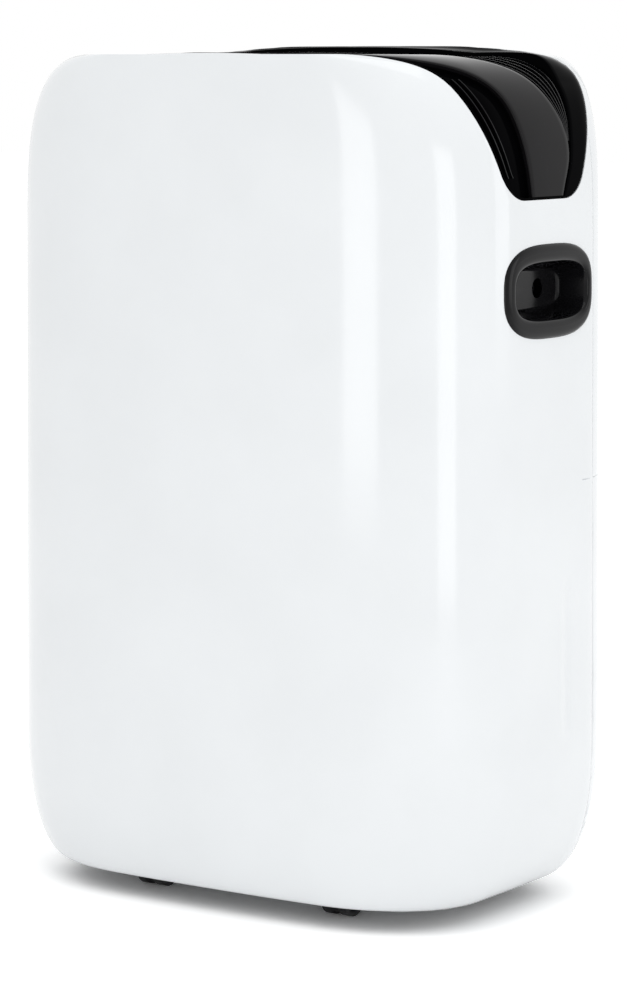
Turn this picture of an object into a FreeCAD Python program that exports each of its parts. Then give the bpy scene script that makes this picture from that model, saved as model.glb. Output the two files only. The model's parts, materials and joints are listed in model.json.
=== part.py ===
import FreeCAD, Part
import os
from math import cos, pi, radians, sin, sqrt, tan

V = FreeCAD.Vector
os.makedirs("parts", exist_ok=True)

# A room dehumidifier on four small castors. Millimetres, +Z up, front towards -Y.
# The origin is on the floor, under the middle of the cabinet.

# ---------------------------------------------------------------- driving dimensions
floor_gap = 15.0            # floor to the crisp lower edge of the cabinet
cabinet_height = 565.0      # lower edge to the top of the rounded shoulders
cabinet_width = 397.0
cabinet_depth = 247.0
crown_rise = 5.2            # the middle of the top above the shoulders
front_bow = 11.0            # how far the front would fall back at the full half width
side_bow = 5.6
side_draft = 2.5            # each side leans in by this much over half the height
front_draft = 1.5           # and so does the front; the back is plumb
front_corner_x = 117.0      # plan size of the big front corners
front_corner_y = 75.0
front_corner_power = 2.35
rear_corner_x = 79.0
rear_corner_y = 79.0
shoulder_x = 85.0           # size of the rounding of the upper corners, seen from the front
shoulder_z = 124.0
shoulder_power = 3.2
foot_x = 36.0               # size of the rounding of the lower corners
foot_z = 93.0
foot_power = 2.1
foot_front_share = 0.35     # how much of that rounding the front and the back take
foot_rear_share = 1.18
least_corner = 25.0         # no plan corner gets tighter than this
crown_border = 3.0          # flat rim round the domed middle of the top

wall = 2.5                  # moulded shell thickness
fit_gap = 0.3               # between pieces that are only placed against each other
seam_gap = 0.4              # visible joint between two shells
run_gap = 0.1               # radial clearance of a shaft in its bearing
slide_gap = 1.0             # all round a piece that is pulled out

seam_y = 58.0               # front shell ends here, rear shell and tank start
tank_seam_z = 294.0         # top of the water tank, bottom of the rear shell
skirt_top_z = 49.6          # top of the skirt under the tank

# ---------------------------------------------------------------- outline and body
half_width = cabinet_width / 2
half_depth = cabinet_depth / 2
shell_bottom_z = floor_gap
shell_top_z = floor_gap + cabinet_height
crown_z = shell_top_z + crown_rise


def box(x0, x1, y0, y1, z0, z1):
    return Part.makeBox(x1 - x0, y1 - y0, z1 - z0, V(x0, y0, z0))


def rod(start, end, radius):
    axis = end - start
    return Part.makeCylinder(radius, axis.Length, start, axis)


def ring(start, end, outer_radius, bore_radius):
    return rod(start, end, outer_radius).cut(rod(start, end, bore_radius))


def mirrored_x(shape):
    return shape.mirror(V(0, 0, 0), V(1, 0, 0))


def fused(shapes):
    whole = shapes[0].multiFuse(shapes[1:]) if len(shapes) > 1 else shapes[0]
    return whole.removeSplitter()


def superellipse_inset(share, power):
    """How far a superellipse of unit size has come in at a share of its own height."""
    return 1 - (1 - min(share, 1.0) ** power) ** (1 / power)


def side_inset(z):
    """Shoulder and foot rounding at a height: how far the side has come in."""
    shoulder_share = max(0.0, (z - (shell_top_z - shoulder_z)) / shoulder_z)
    foot_share = max(0.0, ((shell_bottom_z + foot_z) - z) / foot_z)
    at_shoulder = shoulder_x * superellipse_inset(shoulder_share, shoulder_power)
    at_foot = foot_x * superellipse_inset(foot_share, foot_power)
    return at_shoulder, at_foot


def outline_point(x, y):
    """The front and the sides are slightly bowed, so a flat point is pulled in."""
    forward = max(0.0, -y / half_depth)
    y_bowed = y + front_bow * (x / half_width) ** 2 * forward
    x_bowed = x - side_bow * (y / half_depth) ** 2 * (x / half_width)
    return x_bowed, y_bowed


def drafted(x, y, z):
    """Lean of the sides and the front: an outline point at a height."""
    share = 2 * (z - shell_bottom_z) / cabinet_height - 1
    x_drafted = x * (1 - side_draft / half_width * share)
    y_drafted = y * (1 - front_draft / half_depth * share) if y < 0 else y
    return x_drafted, y_drafted


def plan_outline(z_shape, z_place, offset):
    """Closed plan wire with the insets of height z_shape, drawn at z_place."""
    at_shoulder, at_foot = side_inset(z_shape)
    inset = at_shoulder + at_foot
    reach_x = half_width - inset - offset
    front_y = -half_depth + foot_front_share * at_foot + offset
    rear_y = half_depth - foot_rear_share * at_foot - offset
    corner_x = max(front_corner_x - inset - offset, least_corner)
    corner_y = front_corner_y - foot_front_share * at_foot - offset
    back_x = max(rear_corner_x - inset - offset, least_corner)
    back_y = back_x * rear_corner_y / rear_corner_x
    flat = []
    front_steps = 2
    for i in range(front_steps):
        flat.append(((reach_x - corner_x) * i / front_steps, front_y))
    corner_steps = 6
    for i in range(corner_steps + 1):
        turn = pi / 2 * i / corner_steps
        along = sin(turn) ** (2 / front_corner_power)
        across = max(cos(turn), 0.0) ** (2 / front_corner_power)
        flat.append((reach_x - corner_x + corner_x * along, front_y + corner_y - corner_y * across))
    side_steps = 2
    side_start = front_y + corner_y
    side_end = rear_y - back_y
    for i in range(1, side_steps):
        flat.append((reach_x, side_start + (side_end - side_start) * i / side_steps))
    back_steps = 4
    for i in range(back_steps + 1):
        turn = pi / 2 * i / back_steps
        flat.append((reach_x - back_x + back_x * cos(turn), rear_y - back_y + back_y * sin(turn)))
    flat.append(((reach_x - back_x) / 2, rear_y))
    flat.append((0.0, rear_y))
    bowed = [drafted(*outline_point(x, y), z_shape) for x, y in flat]
    right = Part.BSplineCurve()
    right.interpolate(
        Points=[V(x, y, z_place) for x, y in bowed],
        InitialTangent=V(1, 0, 0),
        FinalTangent=V(-1, 0, 0),
    )
    left = Part.BSplineCurve()
    left.interpolate(
        Points=[V(-x, y, z_place) for x, y in reversed(bowed)],
        InitialTangent=V(-1, 0, 0),
        FinalTangent=V(1, 0, 0),
    )
    return Part.Wire([right.toShape(), left.toShape()])


def crown_bump(offset):
    """The gently domed middle of the top: an arc in side view, turned about a far axis along Y."""
    top = crown_z - offset
    base = shell_top_z - offset
    flat_half = half_width - shoulder_x
    dome_drop = 0.9 * crown_rise
    turn_radius = flat_half ** 2 / (2 * crown_rise)
    reach_x = flat_half - crown_border
    reach_y = half_depth - crown_border - offset
    deep = V(0, 0, -3 * crown_rise)
    front = V(0, -half_depth, top - dome_drop)
    back = V(0, half_depth, top - dome_drop)
    profile = Part.Wire([
        Part.Arc(front, V(0, 0, top), back).toShape(),
        Part.makeLine(back, back + deep),
        Part.makeLine(back + deep, front + deep),
        Part.makeLine(front + deep, front),
    ])
    half_turn = 6.0
    axis_point = V(0, 0, top - turn_radius)
    face = Part.Face(profile)
    face.rotate(axis_point, V(0, 1, 0), -half_turn)
    dome = face.revolve(axis_point, V(0, 1, 0), 2 * half_turn)
    column = box(-reach_x, reach_x, -reach_y, reach_y, base - crown_rise / 8, base + 3 * crown_rise)
    return column.common(dome)


body_cache = {}
section_steps = 6


def body(offset):
    """The cabinet's outer form, drawn in by an offset."""
    if offset in body_cache:
        return body_cache[offset]
    straight_start = shell_bottom_z + foot_z
    straight_end = shell_top_z - shoulder_z
    levels = []
    for i in range(section_steps + 1):
        share = sin(pi / 2 * (1 - i / section_steps)) ** (2 / foot_power)
        z = straight_start - foot_z * share
        levels.append((z, z + offset * share))
    for i in range(1, 3):
        z = straight_start + (straight_end - straight_start) * i / 3
        levels.append((z, z))
    for i in range(section_steps + 1):
        share = sin(pi / 2 * i / section_steps) ** (2 / shoulder_power)
        z = straight_end + shoulder_z * share
        levels.append((z, z - offset * share))
    solid = Part.makeLoft([plan_outline(z, place, offset) for z, place in levels], True, False)
    body_cache[offset] = solid.fuse(crown_bump(offset))
    return body_cache[offset]


def shell():
    if "shell" not in body_cache:
        body_cache["shell"] = body(0.0).cut(body(wall))
    return body_cache["shell"]


# ---------------------------------------------------------------- shared helpers
def extruded(wire, direction):
    return Part.Face(wire).extrude(direction)


def rounded_polygon(points, radii, place):
    """Closed wire through flat points with each corner rounded; place puts a point in space."""
    count = len(points)
    edges = []
    ends = []
    for i in range(count):
        corner = V(points[i][0], points[i][1], 0)
        before = V(points[i - 1][0], points[i - 1][1], 0) - corner
        after = V(points[(i + 1) % count][0], points[(i + 1) % count][1], 0) - corner
        before.normalize()
        after.normalize()
        half_angle = before.getAngle(after) / 2
        if radii[i] == 0:
            ends.append((corner, corner))
            continue
        reach = radii[i] / tan(half_angle)
        bisector = before + after
        bisector.normalize()
        centre = corner + bisector * (radii[i] / sin(half_angle))
        start = corner + before * reach
        end = corner + after * reach
        middle = centre - bisector * radii[i]
        ends.append((start, end))
        edges.append(Part.Arc(*[place(p.x, p.y) for p in (start, middle, end)]).toShape())
    for i in range(count):
        start = ends[i][1]
        end = ends[(i + 1) % count][0]
        if (end - start).Length > 1e-6:
            edges.append(Part.makeLine(place(start.x, start.y), place(end.x, end.y)))
    return Part.Wire(Part.__sortEdges__(edges))


def rounded_rectangle(half_a, half_b, radius, place):
    corners = [(-half_a, -half_b), (half_a, -half_b), (half_a, half_b), (-half_a, half_b)]
    return rounded_polygon(corners, [radius] * 4, place)


def spline(points):
    curve = Part.BSplineCurve()
    curve.interpolate(Points=points)
    return curve.toShape()


def pipe(points, radius, bend):
    """A bent tube: straight runs joined by tangent arcs of one bend radius."""
    edges = []
    start = points[0]
    for i in range(1, len(points) - 1):
        corner = points[i]
        back = points[i - 1] - corner
        on = points[i + 1] - corner
        back.normalize()
        on.normalize()
        half_angle = back.getAngle(on) / 2
        reach = bend / tan(half_angle)
        bisector = back + on
        bisector.normalize()
        centre = corner + bisector * (bend / sin(half_angle))
        arc_start = corner + back * reach
        arc_end = corner + on * reach
        if (arc_start - start).Length > 1e-4:
            edges.append(Part.makeLine(start, arc_start))
        edges.append(Part.Arc(arc_start, centre - bisector * bend, arc_end).toShape())
        start = arc_end
    edges.append(Part.makeLine(start, points[-1]))
    section = Part.Wire(Part.makeCircle(radius, points[0], points[1] - points[0]))
    return Part.Wire(edges).makePipeShell([section], True, False)


# ---------------------------------------------------------------- top saddle
tongue_bottom_z = 485.0     # how far the black saddle hangs down both sides
tongue_front_y = -53.0
tongue_rear_y = 35.0
tongue_front_rise = 2.8     # steepness of its front and rear edges in side view
tongue_rear_rise = 1.9
tongue_front_radius = 26.0
tongue_rear_radius = 30.0
saddle_thickness = 11.0
band_thickness = 3.0        # control band let into the saddle
groove_depth = 5.0          # recess in front of the band
louvre_depth = 9.0          # recess of the air outlet behind the band
saddle_rim = 1.2            # narrow rim left round the recesses
fin_count = 5
fin_thickness = 1.6
fin_top_below = 1.2         # fins stay this far under the outer surface
rib_inner_x = 160.0         # the front ribs end here, before the band meets the rim
outlet_half_width = 92.0
outlet_front_y = -50.0
outlet_rear_y = 40.0


def saddle_zone(gap):
    """Side view of the saddle, run through the whole width."""
    top = crown_z + 20.0
    bottom = tongue_bottom_z + gap
    front = tongue_front_y + gap
    rear = tongue_rear_y - gap
    points = [
        (front - (top - bottom) / tongue_front_rise, top),
        (front, bottom),
        (rear, bottom),
        (rear + (top - bottom) / tongue_rear_rise, top),
    ]
    radii = [0, tongue_front_radius - gap, tongue_rear_radius - gap, 0]
    reach = half_width + 10.0
    wire = rounded_polygon(points, radii, lambda y, z: V(-reach, y, z))
    return extruded(wire, V(2 * reach, 0, 0))


# The band and the recesses wrap over the shoulders. Their edges are drawn in a view from
# 45 degrees, where q = x - z runs from the middle of the top down to the end of the tongue.
middle_q = -crown_z
band_front_edge = [
    (middle_q - 20, -117), (middle_q, -117), (middle_q + 100, -112), (-451, -97), (-415, -69.5),
    (-394, -53), (-374, -41.5), (-348, -34.5), (-322, -29.5), (-270, -23),
]
rear_edge_q = [
    middle_q - 20, middle_q, middle_q + 100, -448, -432, -414, -390, -371, -349, -330, -316, -300, -270,
]
band_rear_edge = list(zip(rear_edge_q, (-62, -62, -53, -39, -27, -10, 7, 15.5, 23.5, 27.5, 26, 19, 9)))
louvre_rear_edge = list(zip(rear_edge_q, (54, 54, 53, 51, 49.5, 47, 43.5, 40, 35.5, 31, 28, 20.5, 10.5)))
fin_points = 9              # the fins stop where the two edges close up


def wrap_place(q, y):
    return V(q / 2 + 190.0, y, -q / 2 + 190.0)


def wrapped_region(front_edge, rear_edge):
    """Both halves of a strip that runs over the top and down the shoulders."""
    front = spline([wrap_place(q, y) for q, y in front_edge])
    rear = spline([wrap_place(q, y) for q, y in rear_edge])
    start = Part.makeLine(wrap_place(*front_edge[0]), wrap_place(*rear_edge[0]))
    end = Part.makeLine(wrap_place(*front_edge[-1]), wrap_place(*rear_edge[-1]))
    wire = Part.Wire(Part.__sortEdges__([front, rear, start, end]))
    reach = 240.0
    right = extruded(wire, V(reach, 0, reach))
    right = right.common(box(0, half_width + 20, -half_depth, half_depth, tongue_bottom_z - 30, crown_z + 60))
    return right.fuse(mirrored_x(right))


def shifted(edge, shift):
    return [(q, y + shift) for q, y in edge]


def between(edge_a, edge_b, share):
    return [(qa, ya + (yb - ya) * share) for (qa, ya), (qb, yb) in zip(edge_a, edge_b)]


lip_half_x = 150.0          # where the lip in front runs into the saddle's side edges
lip_sweep = 29.5            # how much further back than the rim it is there


def lip_edge_y(x):
    bowed = -half_depth + front_draft + wall + front_bow * (x / half_width) ** 2
    return bowed + lip_sweep * (x / lip_half_x) ** 4


def front_strip(gap):
    """The saddle's lip that fills the top right up to the front shell's rim."""
    steps = [-1.0, -0.85, -0.65, -0.35, 0.0, 0.35, 0.65, 0.85, 1.0]
    base_z = shell_top_z - saddle_thickness - 1.0
    edge = [V(share * lip_half_x, lip_edge_y(share * lip_half_x) + gap, base_z) for share in steps]
    back_left = V(-lip_half_x - 6, -60, base_z)
    back_right = V(lip_half_x + 6, -60, base_z)
    wire = Part.Wire([
        spline(edge),
        Part.makeLine(edge[-1], back_right),
        Part.makeLine(back_right, back_left),
        Part.makeLine(back_left, edge[0]),
    ])
    return extruded(wire, V(0, 0, 50))


key_y = -82.0
key_radius = 6.5
key_pitch = 24.0
key_names = ["power", "mode", "fan", "timer", "humidity"]
key_travel = 0.8
key_proud = 0.5
display_half_x = 26.0
display_half_y = 6.5
display_y = -103.0
pocket_half_x = 64.0
pocket_front_y = -112.0
pocket_rear_y = -70.0
board_thickness = 1.6
pocket_floor = 9.0          # below the outer surface


def key_x(i):
    return (i - (len(key_names) - 1) / 2) * key_pitch


def crown_height(x, y):
    """Height of the domed top over a point."""
    flat_half = half_width - shoulder_x
    across = x ** 2 / flat_half ** 2 * crown_rise
    along = y ** 2 / half_depth ** 2 * 0.9 * crown_rise
    return crown_z - across - along


pocket_floor_z = crown_height(0, key_y) - pocket_floor


def display_prism(grow):
    wire = rounded_rectangle(
        display_half_x + grow, display_half_y + grow, 3.0 + grow,
        lambda x, y: V(x, display_y + y, pocket_floor_z + 2),
    )
    return extruded(wire, V(0, 0, 40))


def make_saddle():
    block = saddle_zone(seam_gap).fuse(front_strip(seam_gap)).common(body(0.0))
    block = block.cut(body(saddle_thickness))
    inner_zone = saddle_zone(seam_gap + saddle_rim).fuse(front_strip(seam_gap + saddle_rim))
    band_tool = wrapped_region(band_front_edge, band_rear_edge).cut(body(band_thickness))
    front_line = [(q, -half_depth) for q, y in band_front_edge]
    groove_tool = wrapped_region(front_line, shifted(band_front_edge, 0.01)).cut(body(groove_depth))
    louvre_tool = wrapped_region(shifted(band_rear_edge, -0.01), louvre_rear_edge).cut(body(louvre_depth))
    for tool in (band_tool, groove_tool, louvre_tool):
        block = block.cut(tool.common(inner_zone))
    block = block.cut(box(
        -outlet_half_width, outlet_half_width, outlet_front_y, outlet_rear_y,
        shell_top_z - 40, crown_z + 5,
    ))
    block = block.cut(box(
        -pocket_half_x, pocket_half_x, pocket_front_y, pocket_rear_y, pocket_floor_z, crown_z + 5,
    ))
    for side in (-1, 1):
        lug = box(
            side * screw_x - lug_half, side * screw_x + lug_half, 60.0, half_depth - wall - fit_gap,
            top_screw_z - lug_half, shell_top_z - saddle_thickness + 3.0,
        )
        block = block.fuse(lug).cut(screw_bore(side * screw_x, top_screw_z))
    return largest(block)


def largest(shape):
    return max(shape.Solids, key=lambda s: s.Volume)


def make_top_band():
    region = wrapped_region(shifted(band_front_edge, fit_gap), shifted(band_rear_edge, -fit_gap))
    inner_zone = saddle_zone(seam_gap + saddle_rim + fit_gap)
    inner_zone = inner_zone.fuse(front_strip(seam_gap + saddle_rim + fit_gap))
    band = body(0.0).common(region).common(inner_zone).cut(body(band_thickness))
    for i in range(len(key_names)):
        band = band.cut(rod(V(key_x(i), key_y, pocket_floor_z), V(key_x(i), key_y, crown_z + 9), key_radius + 0.3))
    band = band.cut(display_prism(fit_gap))
    return largest(band)


def make_display_window():
    return largest(body(0.2).common(display_prism(0.0)).cut(body(band_thickness)))


def make_control_board():
    board = box(
        -pocket_half_x + 1, pocket_half_x - 1, pocket_front_y + 1, pocket_rear_y - 1,
        pocket_floor_z, pocket_floor_z + board_thickness,
    )
    top = pocket_floor_z + board_thickness
    parts = [board]
    for i in range(len(key_names)):
        parts.append(box(key_x(i) - 3, key_x(i) + 3, key_y - 3, key_y + 3, top, top + 1.4))
    parts.append(box(
        -display_half_x + 2, display_half_x - 2, display_y - 4.5, display_y + 4.5,
        top, crown_height(0, display_y) - band_thickness - 0.6,
    ))
    return fused(parts)


def make_key(i):
    switch_top = pocket_floor_z + board_thickness + 1.4
    centre = V(key_x(i), key_y, 0)
    top = crown_height(key_x(i), key_y) + key_proud
    cap = rod(centre + V(0, 0, switch_top + key_travel + 0.2), centre + V(0, 0, top), key_radius)
    rim = [e for e in cap.Edges if abs(e.BoundBox.ZMin - top) < 1e-3]
    cap = cap.makeFillet(0.5, rim)
    flange_top = crown_height(key_x(i), key_y) - band_thickness - 0.6
    flange = rod(
        centre + V(0, 0, switch_top + key_travel + 0.2), centre + V(0, 0, flange_top), key_radius + 1.5,
    )
    return fused([cap, flange])


def make_rear_louvre():
    """Curved fins over the air outlet, fanning in towards both shoulders."""
    layer = body(fin_top_below).cut(body(louvre_depth))
    layer = layer.common(box(-half_width, half_width, -75, 60, tongue_bottom_z + 25, crown_z + 5))
    strips = []
    for k in range(1, fin_count + 1):
        line = between(band_rear_edge, louvre_rear_edge, k / (fin_count + 1))[:fin_points]
        strips.append(wrapped_region(shifted(line, -fin_thickness / 2), shifted(line, fin_thickness / 2)))
    fins = [largest(layer.common(strip)) for strip in strips]
    return Part.makeCompound(fins)


def make_front_louvre():
    """Two thin ribs along the front recess on each side."""
    layer = body(fin_top_below).cut(body(groove_depth))
    layer = layer.common(saddle_zone(seam_gap + saddle_rim + 0.5))
    ribs = []
    for step in (3.0, 6.5):
        outer = saddle_zone(seam_gap + saddle_rim + step)
        inner = saddle_zone(seam_gap + saddle_rim + step + 1.2)
        rib = layer.common(outer).cut(inner)
        for side in (0, 1):
            x0 = rib_inner_x if side else -half_width - 5
            x1 = half_width + 5 if side else -rib_inner_x
            part = rib.common(box(x0, x1, -110, -54, tongue_bottom_z + 14, shell_top_z - 3))
            ribs.append(largest(part))
    return Part.makeCompound(ribs)


# ---------------------------------------------------------------- side handles
handle_y = -0.5
handle_z = 424.5
bezel_half_y = 56.5
bezel_half_z = 32.0
bezel_radius = 25.0
bezel_proud = 1.8
opening_half_y = 46.0
opening_half_z = 18.5
opening_radius = 14.0
pocket_depth = 22.0
pocket_floor_half_y = 41.0
pocket_floor_half_z = 14.0
cup_wall = 2.4
handle_screw_y = 15.0
handle_screw_radius = 3.6


def handle_loft(grow, deep):
    """Tapered pocket of the right-hand handle: wide mouth, smaller floor."""
    mouth_x = half_width + 4.0
    floor_x = half_width - deep
    mouth = rounded_rectangle(
        opening_half_y + grow, opening_half_z + grow, opening_radius + grow,
        lambda y, z: V(mouth_x, handle_y + y, handle_z + z),
    )
    floor = rounded_rectangle(
        pocket_floor_half_y + grow, pocket_floor_half_z + grow, opening_radius * 0.7 + grow,
        lambda y, z: V(floor_x, handle_y + y, handle_z + z),
    )
    return Part.makeLoft([mouth, floor], True, True)


def make_handle_right():
    plate = rounded_rectangle(
        bezel_half_y, bezel_half_z, bezel_radius,
        lambda y, z: V(half_width - 20, handle_y + y, handle_z + z),
    )
    bezel = extruded(plate, V(40, 0, 0)).common(body(-bezel_proud)).cut(body(0.0))
    cup = handle_loft(cup_wall, pocket_depth + cup_wall).common(body(-bezel_proud))
    whole = bezel.fuse(cup).cut(handle_loft(0.0, pocket_depth))
    floor_x = half_width - pocket_depth
    bore = rod(
        V(floor_x - 10, handle_screw_y, handle_z),
        V(floor_x + 10, handle_screw_y, handle_z), 2.1,
    )
    return largest(whole.cut(bore))


def handle_hole():
    """Hole in the front shell for both handle cups, one running clearance larger."""
    right = handle_loft(cup_wall + fit_gap, pocket_depth + 10)
    return right.fuse(mirrored_x(right))


def make_handle_screws():
    floor_x = half_width - pocket_depth
    screws = []
    for side in (-1, 1):
        head = rod(
            V(side * (floor_x + 0.05), handle_screw_y, handle_z),
            V(side * (floor_x + 2.4), handle_screw_y, handle_z), handle_screw_radius,
        )
        shank = rod(
            V(side * (floor_x - 12), handle_screw_y, handle_z),
            V(side * (floor_x + 1), handle_screw_y, handle_z), 2.0,
        )
        screws.append(fused([head, shank]))
    return Part.makeCompound(screws)


# ---------------------------------------------------------------- shells
grip_y = 20.0               # shallow finger groove in each side of the front shell
grip_z = 174.0
grip_length = 118.0
grip_depth = 1.3
grip_radius = 14.0
tick_length = 17.0          # short slit that carries the tank seam onto the side
window_half_x = 116.0       # air intake window of the rear shell
window_bottom_z = 318.0
window_top_z = 548.0
screw_x = 106.0
low_screw_z = 307.0
top_screw_z = 562.0
lug_half = 6.0
gland_x = -80.0
gland_z = 308.2
gland_radius = 8.0
drain_x = 80.0
drain_z = 306.0
drain_tube_radius = 6.0
drain_bore_radius = 4.0


def screw_bore(x, z):
    return rod(V(x, half_depth - 30, z), V(x, half_depth + 5, z), 2.1)


def bottom_opening():
    lip = 4.0
    wire = plan_outline(shell_bottom_z, shell_bottom_z - 5, lip)
    return extruded(wire, V(0, 0, 5 + 2 * wall))


def grip_scoop():
    side_x, _ = drafted(half_width, 0.0, grip_z)
    centre_x = side_x + grip_radius - grip_depth
    low = V(centre_x, grip_y, grip_z - grip_length / 2 + grip_radius)
    high = V(centre_x, grip_y, grip_z + grip_length / 2 - grip_radius)
    scoop = fused([
        rod(low, high, grip_radius),
        Part.makeSphere(grip_radius, low),
        Part.makeSphere(grip_radius, high),
    ])
    return scoop.fuse(mirrored_x(scoop))


def make_front_cover():
    cover = shell().common(box(-300, 300, -200, seam_y, 0, crown_z + 50))
    cover = cover.cut(saddle_zone(0.0)).cut(front_strip(0.0)).cut(bottom_opening())
    cover = cover.cut(handle_hole()).cut(grip_scoop())
    for side in (-1, 1):
        slit = box(-10, 10, seam_y - tick_length, seam_y + 5, tank_seam_z, tank_seam_z + 2 * seam_gap)
        slit.translate(V(side * half_width, 0, 0))
        cover = cover.cut(slit)
    return largest(cover)


def make_rear_cover():
    cover = shell().common(box(
        -300, 300, seam_y + seam_gap, 200, tank_seam_z + seam_gap, crown_z + 50,
    ))
    cover = cover.cut(saddle_zone(0.0))
    cover = cover.cut(box(
        -window_half_x, window_half_x, half_depth - 10, half_depth + 5, window_bottom_z, window_top_z,
    ))
    for x, z in ((screw_x, low_screw_z), (-screw_x, low_screw_z), (screw_x, top_screw_z), (-screw_x, top_screw_z)):
        cover = cover.cut(screw_bore(x, z))
        cover = cover.cut(rod(V(x, half_depth - 1.2, z), V(x, half_depth + 5, z), 4.2))
    cover = cover.cut(rod(V(gland_x, half_depth - 10, gland_z), V(gland_x, half_depth + 5, gland_z), gland_radius))
    cover = cover.cut(rod(
        V(drain_x, half_depth - 10, drain_z), V(drain_x, half_depth + 5, drain_z), drain_tube_radius + fit_gap,
    ))
    return largest(cover)


def make_rear_skirt():
    skirt = shell().common(box(-300, 300, seam_y + seam_gap, 200, 0, skirt_top_z))
    return largest(skirt.cut(bottom_opening()))


def make_shell_screws():
    screws = []
    for x, z in ((screw_x, low_screw_z), (-screw_x, low_screw_z), (screw_x, top_screw_z), (-screw_x, top_screw_z)):
        head = rod(V(x, half_depth - 1.2, z), V(x, half_depth - 0.2, z), 4.0)
        shank = rod(V(x, half_depth - 16, z), V(x, half_depth - 0.7, z), 2.0)
        slot = box(x - 2.5, x + 2.5, half_depth - 0.7, half_depth, z - 0.5, z + 0.5)
        cross = box(x - 0.5, x + 0.5, half_depth - 0.7, half_depth, z - 2.5, z + 2.5)
        screws.append(fused([head, shank]).cut(slot).cut(cross))
    return Part.makeCompound(screws)


def make_cord_gland():
    """Only the inlet bush: its lips grip the rear shell."""
    face_y = half_depth
    outer = rod(V(gland_x, face_y - 0.6, gland_z), V(gland_x, face_y - 0.1, gland_z), gland_radius - 0.1)
    body_part = rod(V(gland_x, face_y - 9, gland_z), V(gland_x, face_y - 0.6, gland_z), gland_radius - 0.1)
    nut = rod(V(gland_x, face_y - 9, gland_z), V(gland_x, face_y - wall - 0.4, gland_z), gland_radius + 1.7)
    bush = fused([outer, body_part, nut])
    return bush.cut(rod(V(gland_x, face_y - 12, gland_z), V(gland_x, face_y + 3, gland_z), 3.7))


def make_humidity_sensor():
    x = 121.0
    y = half_depth - wall - fit_gap - 0.9
    board = box(x - 4.5, x + 4.5, y - board_thickness, y, 400, 424)
    chip = box(x - 3, x + 3, y - 5, y - board_thickness, 406, 414)
    return fused([board, chip])


# ---------------------------------------------------------------- intake cassette
grille_bar_pitch = 9.0
grille_bar = 3.4
grille_thickness = 5.0
grille_border = 9.0
filter_gap = 1.0
filter_thickness = 8.0
filter_travel = 0.06


def make_intake_grille():
    x1 = window_half_x - slide_gap / 2
    z0 = window_bottom_z + slide_gap / 2
    z1 = window_top_z - slide_gap / 2
    y1 = half_depth - 0.2
    y0 = y1 - grille_thickness
    plate = box(-x1, x1, y0, y1, z0, z1)
    slots = []
    z = z0 + grille_border
    while z + grille_bar_pitch < z1 - grille_border + grille_bar:
        for column in (-1, 0, 1):
            half = (x1 - grille_border) / 3 - 1.5
            middle = column * 2 * (x1 - grille_border) / 3
            slots.append(box(middle - half, middle + half, y0 - 1, y1 + 1, z, z + grille_bar_pitch - grille_bar))
        z += grille_bar_pitch
    return plate.cut(Part.makeCompound(slots))


def filter_box(grow):
    x1 = window_half_x - 5 - grow
    y1 = half_depth - 0.2 - grille_thickness
    return box(-x1, x1, y1 - filter_thickness, y1, window_bottom_z + 6 + grow, window_top_z - 6 - grow)


def make_filter_frame():
    rim = 6.0
    frame = filter_box(0)
    x1 = window_half_x - 5 - rim
    hole = box(-x1, x1, 0, 200, window_bottom_z + 6 + rim, window_top_z - 6 - rim)
    frame = frame.cut(hole)
    ribs = []
    y1 = half_depth - 0.2 - grille_thickness
    for x in (-37.0, 37.0):
        ribs.append(box(x - 1.5, x + 1.5, y1 - 2.5, y1, window_bottom_z + 8, window_top_z - 8))
    for z in (395.0, 471.0):
        ribs.append(box(-x1 - 2, x1 + 2, y1 - 2.5, y1, z - 1.5, z + 1.5))
    return fused([frame] + ribs)


def make_filter_mesh():
    y1 = half_depth - 0.2 - grille_thickness - 2.5
    x1 = window_half_x - 5 - 6.0
    return box(-x1, x1, y1 - 0.8, y1, window_bottom_z + 12, window_top_z - 12)


# ---------------------------------------------------------------- base and castors
pan_floor_z = 33.0
pan_floor = 3.0
pan_wall_z = 62.0
pan_gap = 0.5
bay_wall_y = 8.0
bay_wall = 2.5
castor_front = (78.0, -80.0)
castor_rear = (95.0, 42.0)
castor_trail = 9.0
wheel_radius = 12.0
wheel_width = 7.0
hood_width = 5.0
axle_radius = 1.5
stem_radius = 4.0
socket_radius = 8.0
socket_top_z = 50.0
rail_x = 60.0


def castor_places():
    return {
        "front_left": (-castor_front[0], castor_front[1]),
        "front_right": castor_front,
        "rear_left": (-castor_rear[0], castor_rear[1]),
        "rear_right": castor_rear,
    }


def make_base_pan():
    slab = box(-300, 300, -200, 200, pan_floor_z, pan_wall_z)
    pan = body(wall + pan_gap).common(slab)
    hollow = body(2 * wall + pan_gap).common(box(-300, 300, -200, 200, pan_floor_z + pan_floor, pan_wall_z + 5))
    pan = pan.cut(hollow)
    pan = pan.cut(box(-300, 300, bay_wall_y, 200, skirt_top_z - 2.5, pan_wall_z + 5))
    rails = []
    floor_top = pan_floor_z + pan_floor
    for x in (-rail_x, 0, rail_x):
        rails.append(box(x - 4, x + 4, 20, 90, floor_top - 0.5, skirt_top_z - slide_gap / 2 + 0.4))
    pan = pan.fuse(rails)
    for x, y in castor_places().values():
        boss = rod(V(x, y, floor_top - 0.5), V(x, y, socket_top_z - 4), socket_radius + 3)
        pan = pan.fuse(boss)
    for x, y in castor_places().values():
        pan = pan.cut(rod(V(x, y, pan_floor_z - 5), V(x, y, socket_top_z - 4), socket_radius))
    return largest(pan)


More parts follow.
